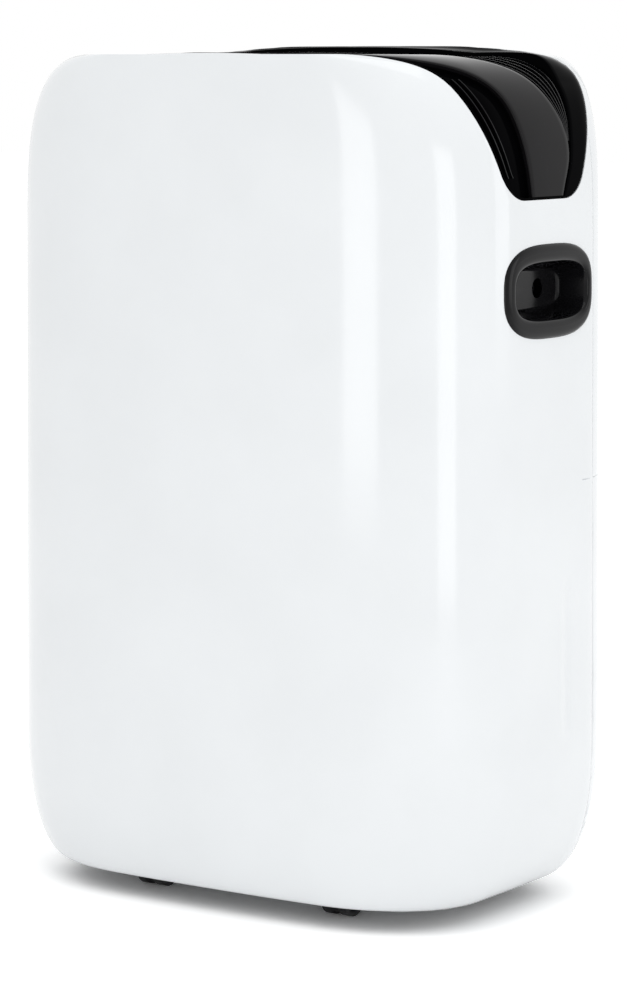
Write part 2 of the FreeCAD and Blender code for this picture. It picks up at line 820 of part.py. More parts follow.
def make_castor_sockets():
    sockets = []
    for x, y in castor_places().values():
        sleeve = rod(V(x, y, pan_floor_z), V(x, y, socket_top_z - 4.2), socket_radius - 0.05)
        flange = rod(V(x, y, pan_floor_z - 3), V(x, y, pan_floor_z), socket_radius + 4)
        bore = rod(V(x, y, pan_floor_z - 5), V(x, y, socket_top_z - 6), stem_radius + run_gap)
        sockets.append(fused([sleeve, flange]).cut(bore))
    return Part.makeCompound(sockets)


def make_castor_fork(x, y):
    """Stem and hood in one: the hood fills the slot between the two wheels."""
    axle_y = y + castor_trail
    top = pan_floor_z - 3 - fit_gap
    half = hood_width / 2
    hood = rod(V(x - half, axle_y, wheel_radius), V(x + half, axle_y, wheel_radius), wheel_radius - 1.5)
    head = rod(V(x, y, 2 * wheel_radius + fit_gap), V(x, y, top), 9.0)
    web = box(x - half, x + half, y - 6, axle_y + 4, wheel_radius, wheel_radius + 13.5)
    stem = rod(V(x, y, top - 1), V(x, y, socket_top_z - 7), stem_radius)
    fork = fused([hood, web, head, stem])
    return fork.cut(rod(V(x - 10, axle_y, wheel_radius), V(x + 10, axle_y, wheel_radius), axle_radius + run_gap))


def make_castor_wheels(x, y):
    """Two wheels pressed on one axle that turns in the hood."""
    axle_y = y + castor_trail
    inner = hood_width / 2 + 0.5
    outer = inner + wheel_width
    wheels = []
    for side in (-1, 1):
        start = V(x + side * inner, axle_y, wheel_radius)
        end = V(x + side * outer, axle_y, wheel_radius)
        wheel = rod(start, end, wheel_radius)
        dish = rod(end - V(side * 1.5, 0, 0), end + V(side, 0, 0), wheel_radius - 3.5)
        hub = rod(end - V(side * 2.0, 0, 0), end - V(side * 0.5, 0, 0), 3.5)
        wheels.append(wheel.cut(dish).fuse(hub))
    axle = rod(V(x - outer + 1.2, axle_y, wheel_radius), V(x + outer - 1.2, axle_y, wheel_radius), axle_radius)
    return fused(wheels + [axle])


# ---------------------------------------------------------------- chassis and tank bay
deck_z = tank_seam_z + 1.0
deck = 3.0
chassis_gap = 0.5
tank_gap = 3.5
tank_wall = 2.5
tank_bottom_z = 50.0
tank_front_y = bay_wall_y + bay_wall + 3.0
tank_lid_z = 282.0
tank_lid = 3.0
spout = (55.0, 70.0)
spout_radius = 6.0
tray_z = deck_z + deck
tray_half_x = 134.0
tray_front_y = 38.0
tray_rear_y = 101.0
tray_height = 16.0
tray_wall = 2.0
pipe_hole_radius = 7.0
discharge_xy = (-150.0, -72.0)
suction_xy = (-150.0, -18.0)


def make_chassis():
    """Deck between the two halves and the wall in front of the tank bay, one moulding."""
    plate = body(wall + chassis_gap).common(box(-300, 300, -200, half_depth - 6, deck_z, deck_z + deck))
    bay = body(3 * wall + chassis_gap).common(box(
        -300, 300, bay_wall_y, bay_wall_y + bay_wall, pan_floor_z + pan_floor, deck_z + 0.5,
    ))
    whole = plate.fuse(bay)
    for side in (-1, 1):
        post = box(
            side * screw_x - lug_half, side * screw_x + lug_half, half_depth - 20, half_depth - 6,
            deck_z + deck - 0.5, low_screw_z + lug_half,
        )
        whole = whole.fuse(post)
        whole = whole.cut(screw_bore(side * screw_x, low_screw_z))
    whole = whole.cut(rod(V(spout[0], spout[1], deck_z - 5), V(spout[0], spout[1], deck_z + 9), spout_radius + fit_gap))
    for x, y in (discharge_xy, suction_xy):
        whole = whole.cut(rod(V(x, y, deck_z - 5), V(x, y, deck_z + 9), pipe_hole_radius))
    return largest(whole)


def make_drip_tray():
    outer = box(-tray_half_x, tray_half_x, tray_front_y, tray_rear_y, tray_z, tray_z + tray_height)
    inner = box(
        -tray_half_x + tray_wall, tray_half_x - tray_wall, tray_front_y + tray_wall, tray_rear_y - tray_wall,
        tray_z + tray_wall, tray_z + tray_height + 1,
    )
    tray = outer.cut(inner)
    ribs = []
    for x in (-100.0, -50.0, 0.0, 50.0, 100.0):
        ribs.append(box(
            x - 1.5, x + 1.5, tray_front_y + 1, tray_rear_y - 1, tray_z + tray_wall - 0.5, tray_z + tray_wall + 2,
        ))
    tube = rod(V(spout[0], spout[1], tank_lid_z + tank_lid + 2.0), V(spout[0], spout[1], tray_z + 1), spout_radius)
    nozzle = rod(V(drain_x, tray_rear_y - 1, drain_z), V(drain_x, half_depth - 1.6, drain_z), drain_tube_radius)
    whole = fused([tray, tube, nozzle] + ribs)
    whole = whole.cut(rod(V(spout[0], spout[1], tank_lid_z), V(spout[0], spout[1], tray_z + 9), spout_radius - 1.5))
    return whole.cut(rod(
        V(drain_x, tray_rear_y - 4, drain_z), V(drain_x, half_depth + 1, drain_z), drain_bore_radius,
    ))


drain_travel = 0.02


def make_drain_cap():
    """Rubber plug of the hose outlet, pulled off rearwards."""
    plug = rod(V(drain_x, half_depth - 12, drain_z), V(drain_x, half_depth - 1, drain_z), drain_bore_radius - run_gap)
    flange = rod(V(drain_x, half_depth - 1.3, drain_z), V(drain_x, half_depth - 0.1, drain_z), drain_tube_radius)
    return fused([plug, flange])


tank_pull_half_x = 45.0
tank_pull_z = 245.0
tank_pull_height = 24.0
tank_pull_depth = 18.0
float_pivot = V(110.0, 26.0, 262.0)
float_pin_radius = 2.0


def tank_core(offset, z0, z1, y0):
    return body(wall + tank_gap + offset).common(box(-300, 300, y0, seam_y + 10, z0, z1))


def make_water_tank():
    skin_zone = box(-300, 300, seam_y + seam_gap, 200, tank_bottom_z, tank_seam_z)
    rear = body(0.0).common(skin_zone)
    front = tank_core(0.0, tank_bottom_z, tank_lid_z, tank_front_y)
    whole = front.fuse(rear)
    cavity_front = tank_core(tank_wall, tank_bottom_z + tank_wall, tank_seam_z + 9, tank_front_y + tank_wall)
    cavity_rear = body(tank_wall + 3.5).common(box(
        -300, 300, seam_y + 5, 200, tank_bottom_z + tank_wall, tank_seam_z + 9,
    ))
    pull_block = box(
        -tank_pull_half_x - 2, tank_pull_half_x + 2, half_depth - tank_pull_depth - 2.5, half_depth,
        tank_pull_z - 2, tank_pull_z + tank_pull_height + 2,
    )
    cavity = cavity_front.fuse(cavity_rear).cut(pull_block)
    lid_seat = body(tank_wall).common(box(-300, 300, seam_y - 5, 200, tank_lid_z, tank_seam_z + 9))
    whole = whole.cut(cavity).cut(lid_seat)
    pull = box(
        -tank_pull_half_x, tank_pull_half_x, half_depth - tank_pull_depth, half_depth + 5,
        tank_pull_z, tank_pull_z + tank_pull_height,
    )
    whole = whole.cut(pull)
    ears = []
    for dx in (-12.0, 12.0):
        ears.append(box(
            float_pivot.x + dx - 1.5, float_pivot.x + dx + 1.5, tank_front_y + 1, float_pivot.y + 5,
            float_pivot.z - 6, float_pivot.z + 6,
        ))
    whole = whole.fuse(ears)
    pin_hole = rod(float_pivot - V(20, 0, 0), float_pivot + V(20, 0, 0), float_pin_radius + run_gap)
    return largest(whole.cut(pin_hole))


def make_tank_lid():
    front = tank_core(0.0, tank_lid_z, tank_lid_z + tank_lid, tank_front_y)
    rear = body(tank_wall + fit_gap).common(box(
        -300, 300, seam_y - 5 + fit_gap, 200, tank_lid_z, tank_lid_z + tank_lid,
    ))
    lid = front.common(box(-300, 300, 0, seam_y - 4, 0, 400)).fuse(rear)
    lid = lid.cut(rod(V(spout[0], spout[1], tank_lid_z - 5), V(spout[0], spout[1], tank_lid_z + 9), 16.0))
    return largest(lid)


def make_tank_float():
    """Foam float on an arm; it swings up about the pin as the tank fills."""
    pin = rod(float_pivot - V(13.4, 0, 0), float_pivot + V(13.4, 0, 0), float_pin_radius)
    hub = rod(float_pivot - V(9, 0, 0), float_pivot + V(9, 0, 0), 4.0)
    arm = box(
        float_pivot.x - 3, float_pivot.x + 3, float_pivot.y, float_pivot.y + 22,
        float_pivot.z - 3, float_pivot.z + 1,
    )
    block = box(
        float_pivot.x - 15, float_pivot.x + 15, float_pivot.y + 20, float_pivot.y + 52,
        float_pivot.z - 22, float_pivot.z - 1,
    )
    return fused([pin, hub, arm, block])


def make_tank_switch():
    x = float_pivot.x
    case = box(x - 12, x + 12, bay_wall_y - 9, bay_wall_y, 246, 262)
    lug = box(x - 16, x + 16, bay_wall_y - 2, bay_wall_y, 250, 258)
    return fused([case, lug])


# ---------------------------------------------------------------- refrigerant circuit
compressor_x = -75.0
compressor_y = -50.0
compressor_radius = 48.0
compressor_low_z = 54.0
compressor_high_z = 204.0
foot_reach = 44.0
grommet_low_z = pan_floor_z + pan_floor
grommet_high_z = grommet_low_z + 12.0
foot_thickness = 3.0
stud_radius = 3.0


def compressor_feet():
    places = []
    for i in range(3):
        turn = radians(90 + 120 * i)
        places.append((compressor_x + foot_reach * cos(turn), compressor_y + foot_reach * sin(turn)))
    return places


def make_compressor():
    low = V(compressor_x, compressor_y, compressor_low_z)
    high = V(compressor_x, compressor_y, compressor_high_z)
    can = rod(low, high, compressor_radius)
    can = can.makeFillet(20.0, [e for e in can.Edges if e.Closed and e.BoundBox.ZLength < 0.1])
    weld = rod(V(compressor_x, compressor_y, 126), V(compressor_x, compressor_y, 131), compressor_radius + 1.5)
    legs = [
        rod(V(x, y, grommet_high_z), V(x, y, grommet_high_z + foot_thickness), 9.0)
        for x, y in compressor_feet()
    ]
    plate = rod(
        V(compressor_x, compressor_y, grommet_high_z),
        V(compressor_x, compressor_y, compressor_low_z + 3), 34.0,
    )
    foot = rod(
        V(compressor_x, compressor_y, grommet_high_z),
        V(compressor_x, compressor_y, grommet_high_z + foot_thickness), foot_reach,
    )
    port = rod(V(compressor_x - 20, compressor_y - 16, 190), V(compressor_x - 20, compressor_y - 16, 212), 6.0)
    whole = fused([can, weld, plate, foot, port] + legs)
    for x, y in compressor_feet():
        whole = whole.cut(rod(V(x, y, grommet_high_z - 1), V(x, y, grommet_high_z + 9), stud_radius + 0.4))
        whole = whole.cut(rod(V(x, y, grommet_high_z + foot_thickness), V(x, y, grommet_high_z + 12), 8.0))
    return largest(whole)


def make_compressor_grommets():
    return Part.makeCompound([
        ring(V(x, y, grommet_low_z), V(x, y, grommet_high_z), 9.0, stud_radius + 0.5)
        for x, y in compressor_feet()
    ])


def make_compressor_nuts():
    nuts = []
    for x, y in compressor_feet():
        stud = rod(V(x, y, grommet_low_z), V(x, y, grommet_high_z + foot_thickness + 8), stud_radius)
        low = grommet_high_z + foot_thickness
        corners = [(x + 6 * cos(radians(60 * k)), y + 6 * sin(radians(60 * k))) for k in range(6)]
        wire = Part.makePolygon([V(cx, cy, low) for cx, cy in corners + corners[:1]])
        nuts.append(fused([stud, extruded(wire, V(0, 0, 5))]))
    return Part.makeCompound(nuts)


def make_terminal_cover():
    x0 = compressor_x - 14
    y0 = compressor_y - compressor_radius - 11
    cover = box(x0, x0 + 28, y0, y0 + 20, 138, 172)
    return cover.cut(rod(
        V(compressor_x, compressor_y, 130), V(compressor_x, compressor_y, 180), compressor_radius + fit_gap,
    ))


accumulator_radius = 18.0
accumulator_x = compressor_x + compressor_radius + accumulator_radius + 4.0
accumulator_y = -58.0
accumulator_low_z = 84.0
accumulator_high_z = 186.0


def make_accumulator():
    can = rod(
        V(accumulator_x, accumulator_y, accumulator_low_z),
        V(accumulator_x, accumulator_y, accumulator_high_z), accumulator_radius,
    )
    can = can.makeFillet(9.0, [e for e in can.Edges if e.Closed and e.BoundBox.ZLength < 0.1])
    strap = box(
        compressor_x + compressor_radius - 4, accumulator_x, accumulator_y + 2, accumulator_y + 10, 126, 130.5,
    )
    outlet = pipe([
        V(accumulator_x, accumulator_y, accumulator_low_z + 4),
        V(accumulator_x, accumulator_y, accumulator_low_z - 14),
        V(compressor_x + 30, accumulator_y, accumulator_low_z - 14),
    ], 4.0, 9.0)
    whole = can.fuse(strap).fuse(outlet)
    keep_out = rod(
        V(compressor_x, compressor_y, 50), V(compressor_x, compressor_y, 250), compressor_radius + 1.5 + run_gap,
    )
    return largest(whole.cut(keep_out))


coil_half_x = 118.0
coil_low_z = tray_z + tray_wall + 2.0
coil_high_z = 530.0
evaporator_y = (70.0, 96.0)
condenser_y = (43.0, 65.0)
tube_radius = 4.0
tube_rows = 7               # odd, so that a coil starts at one side and ends at the other
first_row_z = 320.0
row_pitch = 31.5


def coil_rows():
    return [first_row_z + row_pitch * i for i in range(tube_rows)]


def make_coil_fins(y_range, low_z, high_z):
    """Block of thin fins; the slits between them are cut as shallow grooves on the air side."""
    block = box(-coil_half_x, coil_half_x, y_range[0], y_range[1], low_z, high_z)
    middle_y = (y_range[0] + y_range[1]) / 2
    holes = []
    for z in coil_rows():
        holes.append(rod(V(-coil_half_x - 5, middle_y, z), V(coil_half_x + 5, middle_y, z), tube_radius + 0.05))
    slits = []
    count = 36
    for i in range(1, count):
        x = -coil_half_x + 2 * coil_half_x * i / count
        slits.append(box(x - 1.3, x + 1.3, y_range[1] - 4, y_range[1] + 1, low_z + 3, high_z - 3))
    return block.cut(Part.makeCompound(holes)).cut(Part.makeCompound(slits))


tube_reach = coil_half_x + 18.0


def make_coil_tubes(y_range, start_side):
    """One serpentine tube from the lowest row at the start side to the top row at the other side."""
    middle_y = (y_range[0] + y_range[1]) / 2
    rows = coil_rows()
    side = start_side
    points = [V(side * tube_reach, middle_y, rows[0])]
    for i, z in enumerate(rows):
        side = -side
        points.append(V(side * tube_reach, middle_y, z))
        if i + 1 < len(rows):
            points.append(V(side * tube_reach, middle_y, rows[i + 1]))
    return pipe(points, tube_radius, row_pitch / 2 - 0.6)


def make_discharge_pipe():
    top_row = coil_rows()[-1]
    middle_y = (condenser_y[0] + condenser_y[1]) / 2
    x, y = discharge_xy
    port = V(compressor_x - 20, compressor_y - 16, 212)
    return pipe([
        port,
        port + V(0, 0, 26),
        V(x, y, port.z + 26),
        V(x, y, top_row),
        V(x, middle_y, top_row),
        V(-tube_reach - 0.05, middle_y, top_row),
    ], 3.5, 10.0)


def make_suction_pipe():
    low_row = coil_rows()[0]
    middle_y = (evaporator_y[0] + evaporator_y[1]) / 2
    x, y = suction_xy
    return pipe([
        V(-tube_reach - 0.05, middle_y, low_row),
        V(x, middle_y, low_row),
        V(x, y, low_row),
        V(x, y, 225),
        V(accumulator_x, y, 225),
        V(accumulator_x, accumulator_y, 225),
        V(accumulator_x, accumulator_y, accumulator_high_z),
    ], 4.5, 10.0)


drier_x = tube_reach + 22.0
drier_low_z = 350.0
drier_high_z = 410.0


def make_filter_drier():
    """Liquid line: a strainer body between the condenser and the cold coil, with its thin tubes."""
    low_row = coil_rows()[0]
    top_row = coil_rows()[-1]
    cond_y = (condenser_y[0] + condenser_y[1]) / 2
    evap_y = (evaporator_y[0] + evaporator_y[1]) / 2
    can = rod(V(drier_x, cond_y, drier_low_z), V(drier_x, cond_y, drier_high_z), 9.0)
    can = can.makeFillet(5.0, [e for e in can.Edges if e.Closed and e.BoundBox.ZLength < 0.1])
    stub = pipe([
        V(tube_reach + 0.05, cond_y, low_row),
        V(drier_x, cond_y, low_row),
        V(drier_x, cond_y, drier_low_z + 2),
    ], 3.0, 8.0)
    outlet = pipe([
        V(drier_x, cond_y, drier_high_z - 2),
        V(drier_x, cond_y, top_row),
        V(drier_x, evap_y, top_row),
        V(tube_reach + 0.05, evap_y, top_row),
    ], 1.5, 8.0)
    return fused([can, stub, outlet])


# ---------------------------------------------------------------- fan
fan_x = -10.0
fan_z = 396.0
scroll_x = 0.0
scroll_z = 402.0
scroll_radius = 96.0
scroll_wall = 2.0
scroll_front_y = -38.0
scroll_rear_y = 32.0
duct_top_z = shell_top_z - saddle_thickness - 1.0
inlet_radius = 56.0
impeller_radius = 74.0
impeller_inner = 60.0
impeller_front_y = -30.0
impeller_rear_y = 24.0
blade_count = 32
shaft_radius = 4.0
hub_radius = 10.0
motor_radius = 36.0
motor_front_y = -84.0


def scroll_outline(grow, y0, y1, top):
    circle = rod(V(scroll_x, y0, scroll_z), V(scroll_x, y1, scroll_z), scroll_radius + grow)
    duct = box(
        scroll_x - scroll_radius - grow, scroll_x + scroll_radius + grow, y0, y1, scroll_z, top,
    )
    return circle.fuse(duct).removeSplitter()


def make_fan_scroll():
    """Fan housing: round below, open duct above, bell-mouth towards the coils, on two feet."""
    outer = scroll_outline(0.0, scroll_front_y, scroll_rear_y, duct_top_z)
    inner = scroll_outline(-scroll_wall, scroll_front_y + scroll_wall, scroll_rear_y - scroll_wall, duct_top_z + 5)
    housing = outer.cut(inner)
    mouth = ring(
        V(fan_x, scroll_rear_y - 6, fan_z), V(fan_x, scroll_rear_y + 3, fan_z), inlet_radius + 2, inlet_radius,
    )
    hole = rod(V(fan_x, scroll_rear_y - 9, fan_z), V(fan_x, scroll_rear_y + 9, fan_z), inlet_radius)
    housing = housing.cut(hole).fuse(mouth)
    motor_hole = rod(V(fan_x, scroll_front_y - 5, fan_z), V(fan_x, scroll_front_y + 5, fan_z), 14.0)
    housing = housing.cut(motor_hole)
    feet = []
    for x in (-60.0, 60.0):
        feet.append(box(
            x - 10, x + 10, scroll_front_y + 4, scroll_rear_y - 4,
            deck_z + deck, scroll_z - sqrt(scroll_radius ** 2 - 70.0 ** 2) + 2,
        ))
    feet = Part.makeCompound(feet).cut(scroll_outline(-scroll_wall / 2, scroll_front_y, scroll_rear_y, duct_top_z))
    return largest(housing.fuse(feet.Solids))


def make_motor_bracket():
    plate = ring(
        V(fan_x, scroll_front_y - 3, fan_z), V(fan_x, scroll_front_y, fan_z), motor_radius + 12, 13.0,
    )
    lugs = []
    for i in range(3):
        turn = radians(90 + 120 * i)
        x = fan_x + (motor_radius + 7) * cos(turn)
        z = fan_z + (motor_radius + 7) * sin(turn)
        lugs.append(rod(V(x, scroll_front_y - 9, z), V(x, scroll_front_y - 2, z), 3.5))
    return fused([plate] + lugs)


def make_fan_motor():
    rear_y = scroll_front_y - 3
    can = rod(V(fan_x, motor_front_y, fan_z), V(fan_x, rear_y, fan_z), motor_radius)
    can = can.makeFillet(6.0, [e for e in can.Edges if e.Closed and abs(e.BoundBox.YMin - motor_front_y) < 0.1])
    boss = rod(V(fan_x, rear_y - 1, fan_z), V(fan_x, rear_y + 6, fan_z), 12.0)
    bore = rod(V(fan_x, motor_front_y + 8, fan_z), V(fan_x, rear_y + 9, fan_z), shaft_radius + run_gap)
    return fused([can, boss]).cut(bore)


def make_fan_shaft():
    end = V(fan_x, impeller_front_y + 22, fan_z)
    shaft = rod(V(fan_x, motor_front_y + 8.5, fan_z), end, shaft_radius)
    nut = rod(end - V(0, 3, 0), end + V(0, 4, 0), 6.5)
    return fused([shaft, nut])


def make_impeller():
    disc = rod(V(fan_x, impeller_front_y, fan_z), V(fan_x, impeller_front_y + 2, fan_z), impeller_radius)
    hub = rod(V(fan_x, impeller_front_y, fan_z), V(fan_x, impeller_front_y + 18.5, fan_z), hub_radius)
    rim = ring(
        V(fan_x, impeller_rear_y - 3, fan_z), V(fan_x, impeller_rear_y, fan_z),
        impeller_radius, impeller_inner,
    )
    blades = []
    blade = box(-0.8, 0.8, impeller_front_y + 1, impeller_rear_y - 1, impeller_inner + 0.5, impeller_radius - 0.5)
    blade.rotate(V(0, 0, impeller_inner + 6), V(0, 1, 0), 28)
    for i in range(blade_count):
        copy = blade.copy()
        copy.rotate(V(0, 0, 0), V(0, 1, 0), 360.0 * i / blade_count)
        copy.translate(V(fan_x, 0, fan_z))
        blades.append(copy)
    whole = disc.multiFuse([hub, rim] + blades)
    bore = rod(V(fan_x, impeller_front_y - 5, fan_z), V(fan_x, impeller_front_y + 40, fan_z), shaft_radius + 0.01)
    return largest(whole.cut(bore))


# ---------------------------------------------------------------- electrics
box_x = (42.0, 150.0)
box_y = (-88.0, -22.0)
box_z = (socket_top_z - 3.5, 246.0)
box_wall = 2.0
board_y = -30.0
board_low_z = 64.0
board_high_z = 232.0


def make_board_box():
    """Open-fronted electrics box. It stands on feet, clear of the castor socket under it."""
    outer = box(*box_x, *box_y, *box_z)
    inner = box(
        box_x[0] + box_wall, box_x[1] - box_wall, box_y[0] - 1, box_y[1] - box_wall,
        box_z[0] + box_wall, box_z[1] - box_wall,
    )
    posts = []
    for x in (box_x[0] + 12, box_x[1] - 12):
        for z in (board_low_z + 6, board_high_z - 6):
            posts.append(box(x - 3, x + 3, board_y, box_y[1] - 1, z - 3, z + 3))
    feet = []
    for x, y in ((box_x[0], box_y[1] - 8), (box_x[1] - 8, box_y[1] - 8), (box_x[1] - 8, box_y[0] + 4)):
        feet.append(box(x, x + 8, y, y + 8, pan_floor_z + pan_floor, box_z[0] + 1))
    return fused([outer.cut(inner)] + posts + feet)


def make_main_board():
    """Power board: inductor, mains filter, relays, heat sink and terminal strip."""
    face_y = board_y - board_thickness
    board = box(box_x[0] + 6, box_x[1] - 6, face_y, board_y, board_low_z, board_high_z)
    coil = rod(V(66, face_y, 100), V(66, face_y - 30, 100), 17)
    can = box(92, 138, face_y - 25, face_y, 76, 114)
    relay = box(56, 84, face_y - 18, face_y, 140, 168)
    sink = box(100, 136, face_y - 13, face_y, 134, 186)
    strip = box(56, 136, face_y - 11, face_y, 200, 214)
    return fused([board, coil, can, relay, sink, strip])


def main():
    parts = {
        "front_cover": make_front_cover,
        "rear_cover": make_rear_cover,
        "rear_skirt": make_rear_skirt,
        "saddle": make_saddle,
        "top_band": make_top_band,
        "front_louvre": make_front_louvre,
        "rear_louvre": make_rear_louvre,
        "display_window": make_display_window,
        "control_board": make_control_board,
        "handle_right": make_handle_right,
        "handle_screws": make_handle_screws,
        "shell_screws": make_shell_screws,
        "cord_gland": make_cord_gland,
        "humidity_sensor": make_humidity_sensor,
        "intake_grille": make_intake_grille,
        "filter_frame": make_filter_frame,
        "filter_mesh": make_filter_mesh,
        "base_pan": make_base_pan,
        "castor_sockets": make_castor_sockets,
        "chassis": make_chassis,
        "drip_tray": make_drip_tray,
        "drain_cap": make_drain_cap,
        "water_tank": make_water_tank,
        "tank_lid": make_tank_lid,
        "tank_float": make_tank_float,
        "tank_switch": make_tank_switch,
        "compressor": make_compressor,
        "compressor_grommets": make_compressor_grommets,
        "compressor_nuts": make_compressor_nuts,
        "terminal_cover": make_terminal_cover,
        "accumulator": make_accumulator,
        "discharge_pipe": make_discharge_pipe,
        "suction_pipe": make_suction_pipe,
        "filter_drier": make_filter_drier,
        "fan_scroll": make_fan_scroll,
        "motor_bracket": make_motor_bracket,
        "fan_motor": make_fan_motor,
        "fan_shaft": make_fan_shaft,
        "impeller": make_impeller,
        "board_box": make_board_box,
        "main_board": make_main_board,
    }
    shapes = {name: make() for name, make in parts.items()}
    shapes["handle_left"] = mirrored_x(shapes["handle_right"])
    shapes["evaporator_fins"] = make_coil_fins(evaporator_y, coil_low_z, coil_high_z)
    shapes["evaporator_tubes"] = make_coil_tubes(evaporator_y, -1)
    shapes["condenser_fins"] = make_coil_fins(condenser_y, coil_low_z, coil_high_z)
    shapes["condenser_tubes"] = make_coil_tubes(condenser_y, 1)
    for place, (x, y) in castor_places().items():
        shapes["castor_fork_" + place] = make_castor_fork(x, y)
        shapes["castor_wheels_" + place] = make_castor_wheels(x, y)
    for i, name in enumerate(key_names):
        shapes["key_" + name] = make_key(i)
    for name, shape in shapes.items():
        shape.exportStep("parts/" + name + ".step")
    print(len(shapes), "sub-parts")


main()
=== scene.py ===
# %% [markdown]
# # A room dehumidifier, piece by piece
# The real thing is an upright cabinet on four small castors. A white gloss shell wraps the front
# and the sides, a black gloss saddle closes the top and hangs down both sides, and the back holds
# the air intake and the water tank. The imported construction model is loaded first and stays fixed:
# it says where every piece is and what moves with what. New skins then take the place of the
# pieces that the eye lands on, because a clean grid of points reflects light without ripples.

# %% Load the construction model
import json
from math import cos, pi, radians, sin, sqrt, tan

import bpy
import numpy as np
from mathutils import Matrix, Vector


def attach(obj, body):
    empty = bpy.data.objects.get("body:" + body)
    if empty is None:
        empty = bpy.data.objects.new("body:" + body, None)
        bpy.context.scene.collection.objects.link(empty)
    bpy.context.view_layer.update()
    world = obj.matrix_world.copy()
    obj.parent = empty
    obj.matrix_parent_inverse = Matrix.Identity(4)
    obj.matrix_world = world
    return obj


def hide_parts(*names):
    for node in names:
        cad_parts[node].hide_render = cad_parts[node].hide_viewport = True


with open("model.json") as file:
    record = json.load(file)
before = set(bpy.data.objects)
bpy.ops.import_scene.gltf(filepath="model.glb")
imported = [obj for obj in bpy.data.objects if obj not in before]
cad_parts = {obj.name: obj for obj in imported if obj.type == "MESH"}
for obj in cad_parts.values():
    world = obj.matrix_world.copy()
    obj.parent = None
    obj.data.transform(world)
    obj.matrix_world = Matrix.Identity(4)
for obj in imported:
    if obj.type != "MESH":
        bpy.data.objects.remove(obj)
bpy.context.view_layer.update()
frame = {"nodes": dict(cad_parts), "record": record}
nodes = frame["nodes"]

# %% [markdown]
# ## The form of the cabinet
# All the outer skins lie on one form. In plan it has wide round front corners, which are not
# circles but superellipses, and tighter round rear corners. Going up, the shoulders roll in and
# the top is a very shallow dome. Writing the form once as a function keeps every skin flush with
# its neighbours. Lengths are in millimetres until a mesh is made.

# %% Sizes of the form
mm = 0.001
half_width = 198.5
half_depth = 123.5
low_z = 15.0
high_z = 580.0
crown_rise = 5.2
front_bow = 11.0
side_bow = 5.6
side_draft = 2.5
front_draft = 1.5
front_corner = (117.0, 75.0)
front_power = 2.35
rear_corner = 79.0
shoulder = (85.0, 124.0)
shoulder_power = 3.2
foot = (36.0, 93.0)
foot_power = 2.1
foot_front_share = 0.35
foot_rear_share = 1.18
least_corner = 25.0
flat_top = half_width - shoulder[0]


# %% The outline in plan at one height
def roll_in(share, power):
    return 1 - (1 - min(max(share, 0.0), 1.0) ** power) ** (1 / power)


def outline(z):
    """Right half of the plan, from the middle of the front round to the middle of the back."""
    at_shoulder = shoulder[0] * roll_in((z - high_z + shoulder[1]) / shoulder[1], shoulder_power)
    at_foot = foot[0] * roll_in((low_z + foot[1] - z) / foot[1], foot_power)
    reach = half_width - at_shoulder - at_foot
    front = -half_depth + foot_front_share * at_foot
    rear = half_depth - foot_rear_share * at_foot
    corner_x = max(front_corner[0] - at_shoulder - at_foot, least_corner)
    corner_y = front_corner[1] - foot_front_share * at_foot
    back = max(rear_corner - at_shoulder - at_foot, least_corner)
    turn = np.linspace(0, pi / 2, 81)
    round_x = np.sin(turn) ** (2 / front_power)
    round_y = np.clip(np.cos(turn), 0, 1) ** (2 / front_power)
    straight = np.linspace(0, 1, 30)
    x = np.concatenate([
        straight[:-1] * (reach - corner_x), reach - corner_x + corner_x * round_x,
        np.full(28, reach), reach - back + back * np.cos(turn), (1 - straight[1:]) * (reach - back),
    ])
    y = np.concatenate([
        np.full(29, front), front + corner_y - corner_y * round_y,
        front + corner_y + (rear - back - front - corner_y) * straight[1:-1],
        rear - back + back * np.sin(turn), np.full(29, rear),
    ])
    bowed_y = y + front_bow * (x / half_width) ** 2 * np.maximum(0, -y / half_depth)
    bowed_x = x - side_bow * (y / half_depth) ** 2 * (x / half_width)
    lean = 2 * (z - low_z) / (high_z - low_z) - 1
    leaned_y = np.where(bowed_y < 0, bowed_y * (1 - front_draft / half_depth * lean), bowed_y)
    return bowed_x * (1 - side_draft / half_width * lean), leaned_y


# %% Up the wall and over the top
foot_end = 0.16
wall_end = 0.62


def wall_height(rise):
    """Height for a rise from 0, the lower edge, to 1, the top of the shoulders."""
    if rise < foot_end:
        return low_z + foot[1] * (1 - cos(pi / 2 * rise / foot_end) ** (2 / foot_power))
    if rise < wall_end:
        share = (rise - foot_end) / (wall_end - foot_end)
        return low_z + foot[1] + share * (high_z - shoulder[1] - low_z - foot[1])
    turn = pi / 2 * min((rise - wall_end) / (1 - wall_end), 1.0)
    return high_z - shoulder[1] * (1 - sin(turn) ** (2 / shoulder_power))


def wall_rise(z):
    """The rise that goes with a height."""
    low, high = 0.0, 1.0
    for _ in range(40):
        middle = (low + high) / 2
        if wall_height(middle) < z:
            low = middle
        else:
            high = middle
    return (low + high) / 2


def top_height(x, y):
    dome = crown_rise * (1 - (x / flat_top) ** 2 - 0.9 * (y / half_depth) ** 2)
    return high_z + np.maximum(0, dome)


outlines = {}


def outline_at(rise):
    key = round(rise, 7)
    if key not in outlines:
        outlines[key] = outline(wall_height(rise))
    return outlines[key]


def on_arch(y, rise):
    """Points of the right half over a line of depths y; a rise from 1 to 2 crosses the top."""
    y = np.asarray(y, float)
    line_x, line_y = outline_at(min(rise, 1.0))
    turn_back = len(line_x) - 29
    x = np.interp(y, line_y[:turn_back], line_x[:turn_back])
    if rise <= 1:
        return np.stack([x, y, np.full_like(x, wall_height(rise))], -1)
    x = x * (2 - rise)
    return np.stack([x, y, top_height(x, y)], -1)


